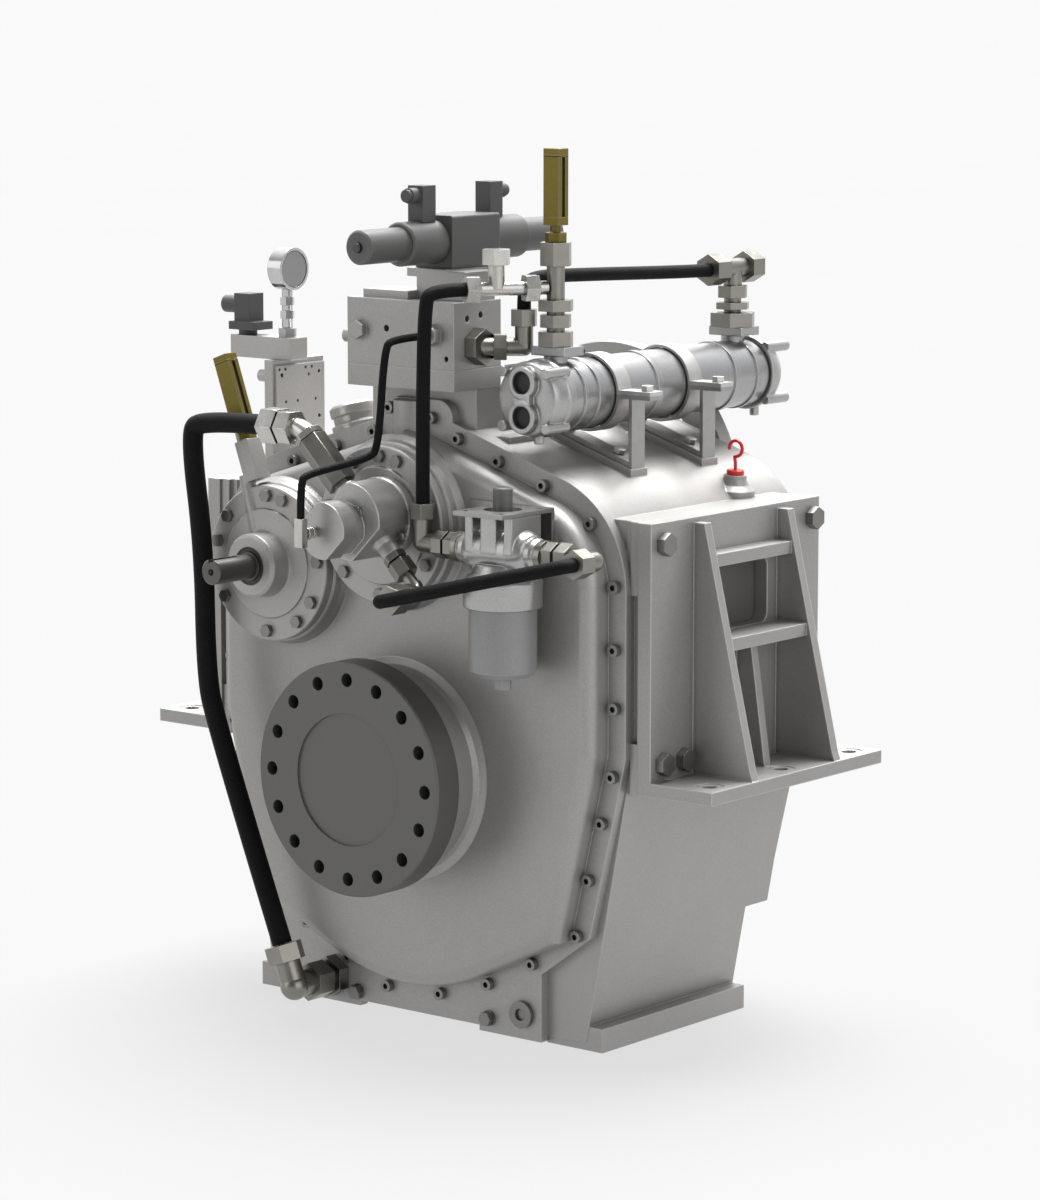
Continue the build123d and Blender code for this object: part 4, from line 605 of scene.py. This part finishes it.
PRESSURE_CORNER = (113.844, 30.0, 275.854)
pressure = bmesh.new()
hex_bar(pressure, moved(PUMP_MOUTH, PRESSURE_WAY, 68), PRESSURE_WAY, flats=30, length=10, side=BACK)
round_bar(pressure, moved(PUMP_MOUTH, PRESSURE_WAY, 77), PRESSURE_WAY, radius=9, length=46)
hex_bar(pressure, moved(PUMP_MOUTH, PRESSURE_WAY, 81), PRESSURE_WAY, flats=32, length=24, side=BACK)
bent_bar(pressure, moved(PRESSURE_CORNER, PRESSURE_WAY, -18), PRESSURE_CORNER,
    moved(PRESSURE_CORNER, FRONT, 18), radius=11)
hex_bar(pressure, moved(PRESSURE_CORNER, FRONT, 16), FRONT, flats=32, length=18)
round_bar(pressure, moved(PRESSURE_CORNER, FRONT, 33), FRONT, radius=12, length=9)
hex_bar(pressure, moved(PRESSURE_CORNER, FRONT, 40), FRONT, flats=38, length=30)
made("pressure_elbow", pressure, fitting_plate, replaces="pressure_fitting")

pilot = bmesh.new()
straight_form(pilot, (-6, -88, 345), UP, rectangle(7.5, 6), length=41, side=RIGHT)
round_bar(pilot, (-6, -83, 364), BACK, radius=6, length=27)
hex_bar(pilot, (-6, -79, 364), BACK, flats=17, length=9)
hex_bar(pilot, (-6, -68, 364), BACK, flats=15, length=6)
made("pilot_block", pilot, bright_plate, replaces="pilot_fitting")


# Oil filter: die-cast aluminium head with a turned collar and three webs, screwed under a bent
# zinc-plated plate. A painted steel bowl is screwed up into it and an indicator stands on top.
FILTER = (243.0, 55.0)
PORT_Z = 346.0
WEBS = ((-42, -28), (-14, 14), (28, 42))
WEB_HALF_DEPTH = 33
filter_finish = cast_skin("filter_aluminium", (0.42, 0.42, 0.41), metallic=0.85, roughness=0.28,
    grain=0.12, wear=0.4)
head = bmesh.new()
turned_form(head, (*FILTER, 0), UP,
    [(0, 268), (55, 268), (56, 270), (56, 305), (51, 312), (44, 316), (38, 330), (0, 330)], sides=64)
straight_form(head, (*FILTER, 312), UP, rectangle(34, 26), length=44, side=RIGHT)
turned_form(head, (FILTER[0] - 54, FILTER[1], PORT_Z), RIGHT, [
    (0, 0), (26, 0), (31, 6), (33, 18), (33, 90), (31, 102), (26, 108), (0, 108),
], sides=64)
for side in (1, -1):
    turned_form(head, (FILTER[0] + side * 50, FILTER[1], PORT_Z), (side, 0, 0), [
        (0, 0), (24, 0), (24, 14), (22, 16), (22, 20), (0, 20),
    ])
for low, high in WEBS:
    web = [
        (low, -WEB_HALF_DEPTH), (high, -WEB_HALF_DEPTH), (high, WEB_HALF_DEPTH), (low, WEB_HALF_DEPTH)]
    straight_form(head, (*FILTER, PORT_Z), UP, web, length=53, side=RIGHT)
made("filter_casting", head, filter_finish, replaces="filter_head", edge=0.0015)
indicator = bmesh.new()
turned_form(indicator, (*FILTER, 398), UP, [(0, 0), (14, 0), (14, 36), (12.5, 38), (0, 38)])
indicator_finish = cast_skin("indicator_grey", (0.13, 0.13, 0.125), metallic=0.4, roughness=0.42,
    grain=0.1, wear=0.2)
made("clogging_indicator", indicator, indicator_finish, edge=0.0004)
plate_zinc = plated_steel("plate_zinc", (0.34, 0.335, 0.325), roughness=0.36)
dress(plate_zinc, "filter_bracket")
wing = bmesh.new()
straight_form(wing, (135, 109, 340), UP, [(0, 0), (62, 0), (62, 6), (0, 6)], length=65, side=RIGHT)
made("filter_plate_wing", wing, plate_zinc)
dress(cast_skin("bowl_paint", (0.26, 0.26, 0.26), metallic=0.3, roughness=0.40, grain=0.08, wear=0.2),
    "filter_bowl")


# Oil cooler: a drawn aluminium shell between cast end caps, each with four screw bosses, strapped
# down on two bent steel stands. Water goes in and out through the two ports of the front cap.
dress(cast_skin("cooler_aluminium", (0.40, 0.40, 0.40), metallic=0.9, roughness=0.30, grain=0.10,
    wear=0.35), "cooler_shell")
COOLER = (208.0, 548.0)
CAP_FRONT = 137.0
CAP_REAR = 723.0
WATER_PORT_RISE = 24.5
SCREW_BOSS_CIRCLE = 55
caps = bmesh.new()
turned_form(caps, (COOLER[0], CAP_FRONT + 12, COOLER[1]), BACK, [
    (0, 0), (45, 0), (51, 3), (54, 9), (54, 30), (56, 32), (56, 38), (54, 40), (54, 48), (0, 48),
], sides=64)
turned_form(caps, (COOLER[0], CAP_REAR - 16, COOLER[1]), FRONT, [
    (0, 0), (24, 0), (40, 4), (50, 12), (54, 22), (54, 30), (56, 32), (56, 38), (54, 40), (0, 40),
], sides=64)
for side in (1, -1):
    turned_form(caps, (COOLER[0], CAP_FRONT, COOLER[1] + side * WATER_PORT_RISE), BACK, [
        (16, 1), (17, 0), (22.5, 0), (23.5, 1), (23.5, 14), (16, 14),
    ], sides=48)
straight_form(caps, (COOLER[0], CAP_FRONT + 0.5, COOLER[1]), BACK, rectangle(14, 9), length=14,
    side=RIGHT)
for angle in (45, 135, 225, 315):
    x = COOLER[0] + SCREW_BOSS_CIRCLE * math.cos(math.radians(angle))
    z = COOLER[1] + SCREW_BOSS_CIRCLE * math.sin(math.radians(angle))
    round_bar(caps, (x, CAP_FRONT + 5, z), BACK, radius=8, length=50)
    round_bar(caps, (x, CAP_REAR - 1, z), FRONT, radius=8, length=54)
round_bar(caps, (COOLER[0] + 8, CAP_FRONT + 32, COOLER[1] - 52), DOWN, radius=7, length=12)
round_bar(caps, (COOLER[0] + 8, CAP_REAR - 38, COOLER[1] - 52), DOWN, radius=7, length=14)
cap_finish = cast_skin("cap_aluminium", (0.42, 0.418, 0.412), metallic=0.85, roughness=0.32, grain=0.18,
    wear=0.4)
made("cooler_caps", caps, cap_finish, replaces="cooler_end_caps", edge=0.0012)
water = bmesh.new()
for side in (1, -1):
    turned_form(water, (COOLER[0], CAP_FRONT + 2.5, COOLER[1] + side * WATER_PORT_RISE), BACK, [
        (0, 6), (14.8, 6), (14.8, 0), (16.2, 0), (16.2, 7), (0, 7),
    ], sides=40)
port_shade = cast_skin("port_shade", (0.035, 0.035, 0.034), metallic=0.3, roughness=0.6, grain=0.4,
    wear=0.0)
made("water_ports", water, port_shade, edge=0.0002)
dress(plated_steel("strap_zinc", (0.60, 0.595, 0.58), roughness=0.38), "cooler_straps")
dress(plated_steel("stand_zinc", (0.40, 0.395, 0.38), roughness=0.38), "cooler_stands")


# Control valve: a bored steel block on a base plate, bolted to the roof. It carries a cast valve
# painted black on a sub-plate, with a coil, a plug and a steel override button at each end.
dress(cast_skin("block_coat", (0.34, 0.333, 0.32), metallic=0.6, roughness=0.40, grain=0.15, wear=0.3),
    "control_base", "control_block", "valve_subplate")
dress(cast_skin("valve_paint", (0.075, 0.074, 0.073), metallic=0.0, roughness=0.45, grain=0.18,
    wear=0.10), "valve_body")
dress(cast_skin("coil_paint", (0.082, 0.081, 0.079), metallic=0.0, roughness=0.42, grain=0.12,
    wear=0.10), "solenoids")
dress(cast_skin("plug_plastic", (0.060, 0.060, 0.060), metallic=0.0, roughness=0.5, grain=0.25,
    wear=0.05), "solenoid_plugs", "pressure_switch")
dress(plated_steel("button_steel", (0.085, 0.085, 0.083), roughness=0.4), "front_override_button",
    "rear_override_button")


# Gauge group: a drilled steel block bolted to the left shoulder, and a manifold on top of it that
# carries a chromed pressure gauge with a plain grey dial and a switch with a plastic plug.
dress(cast_skin("gauge_block_coat", (0.40, 0.392, 0.38), metallic=0.6, roughness=0.38, grain=0.12,
    wear=0.3), "gauge_block", "gauge_manifold")
dress(plated_steel("gauge_chrome", (0.55, 0.55, 0.55), roughness=0.14), "pressure_gauge")
DIAL_MIDDLE = (-284.5, 208, 706)
dial = bmesh.new()
turned_form(dial, DIAL_MIDDLE, RIGHT, [(0, 0), (27.2, 0), (27.2, 1.2), (26.4, 1.8), (0, 1.8)],
    sides=64)
dial_grey = cast_skin("dial_grey", (0.30, 0.30, 0.30), metallic=0.2, roughness=0.30, grain=0.02,
    wear=0.0)
made("gauge_dial", dial, dial_grey, edge=0.0003)
holes = bmesh.new()
HOLE_FACE = -292.3
TAPPED_HOLES = (
    (184, 557), (197, 557), (190, 547), (242, 557), (256, 557), (249, 546), (198, 508), (224, 508),
    (264, 508), (191, 480),
)
for y, z in TAPPED_HOLES:
    turned_form(holes, (HOLE_FACE, y, z), RIGHT, [(0, 0), (2.3, 0), (2.3, 0.5), (1.6, 0.6), (0, 0.45)],
        sides=20)
made("gauge_block_holes", holes, port_shade, edge=0.0001)


# Thermometers: straight brass cases lacquered olive yellow, slotted along the scale and screwed in
# by a hexagon, one on the cooler and one in the pocket of the power take-off's cover.
olive_lacquer = cast_skin("olive_lacquer", (0.165, 0.125, 0.012), metallic=0.5, roughness=0.35,
    grain=0.08, wear=0.15)
CASE_HALF_WIDTH, CASE_HALF_DEPTH = 11, 14
SLOT_HALF_WIDTH, SLOT_FLOOR = 4, 8
CASE_FOOT = 24
CASE_END = 12
SLOTTED_CASE = [
    (-CASE_HALF_WIDTH, -CASE_HALF_DEPTH), (-SLOT_HALF_WIDTH, -CASE_HALF_DEPTH),
    (-SLOT_HALF_WIDTH, -SLOT_FLOOR), (SLOT_HALF_WIDTH, -SLOT_FLOOR),
    (SLOT_HALF_WIDTH, -CASE_HALF_DEPTH), (CASE_HALF_WIDTH, -CASE_HALF_DEPTH),
    (CASE_HALF_WIDTH, CASE_HALF_DEPTH), (-CASE_HALF_WIDTH, CASE_HALF_DEPTH),
]
thermometers = bmesh.new()
for foot, way, length in (((208, 216, 766), UP, 108),
    (moved(POCKET_FOOT, POCKET_WAY, 61), POCKET_WAY, 106)):
    hex_bar(thermometers, foot, way, flats=27, length=14, side=BACK)
    round_bar(thermometers, moved(foot, way, 13), way, radius=8, length=13)
    case = moved(foot, way, CASE_FOOT)
    straight_form(thermometers, moved(case, way, CASE_END), way, SLOTTED_CASE, length=length - 22,
        side=BACK)
    for end in (0, length - CASE_END):
        straight_form(thermometers, moved(case, way, end), way,
            rectangle(CASE_HALF_WIDTH, CASE_HALF_DEPTH), length=CASE_END, side=BACK)
made("thermometer_cases", thermometers, olive_lacquer, replaces="thermometers",
    edge=0.0005)


# Dipstick: a long steel rod with a stopper and a hook bent from wire, all dipped in red enamel.
# The stopper closes the short tube on the casing's shoulder.
red_enamel = cast_skin("red_enamel", (0.62, 0.008, 0.006), metallic=0.0, roughness=0.28, grain=0.04,
    wear=0.05)
DIP_SEAT = (330.0, 482.0, 420.0)
DIP_WAY = (0.06, 0, 1)
ROD_LENGTH = 570
dip = bmesh.new()
round_bar(dip, moved(DIP_SEAT, DIP_WAY, 1 - ROD_LENGTH), DIP_WAY, radius=4, length=ROD_LENGTH)
turned_form(dip, DIP_SEAT, DIP_WAY, [(0, 0), (13, 0), (13, 6), (11.5, 7.2), (5, 7.4), (0, 7.4)])
WIRE_RADIUS = 2.5
HOOK_RADIUS = 11.5
HOOK_HEIGHT = 38
HOOK_START = -100
HOOK_SWEEP = 290
HOOK_STEPS = 28
hook_turns = [math.radians(HOOK_START + HOOK_SWEEP * k / HOOK_STEPS) for k in range(HOOK_STEPS + 1)]
wire = [(DIP_SEAT[0] + 0.3, DIP_SEAT[1], DIP_SEAT[2] + 5),
    (DIP_SEAT[0] + 0.2, DIP_SEAT[1], DIP_SEAT[2] + 18)]
for turn in hook_turns:
    x = DIP_SEAT[0] + 0.8 + HOOK_RADIUS * math.cos(turn)
    wire.append((x, DIP_SEAT[1], DIP_SEAT[2] + HOOK_HEIGHT + HOOK_RADIUS * math.sin(turn)))
wire_rows = []
for k, point in enumerate(wire):
    along = Vector(wire[min(k + 1, len(wire) - 1)]) - Vector(wire[max(k - 1, 0)])
    wire_rows.append(row_of(dip, setting(point, along, BACK), circle(WIRE_RADIUS, 16)))
skin_rows(dip, wire_rows, False)
cap_ends(dip, wire_rows)
made("dipstick_hook", dip, red_enamel, replaces="dipstick", body="dipstick",
    edge=0.0003)
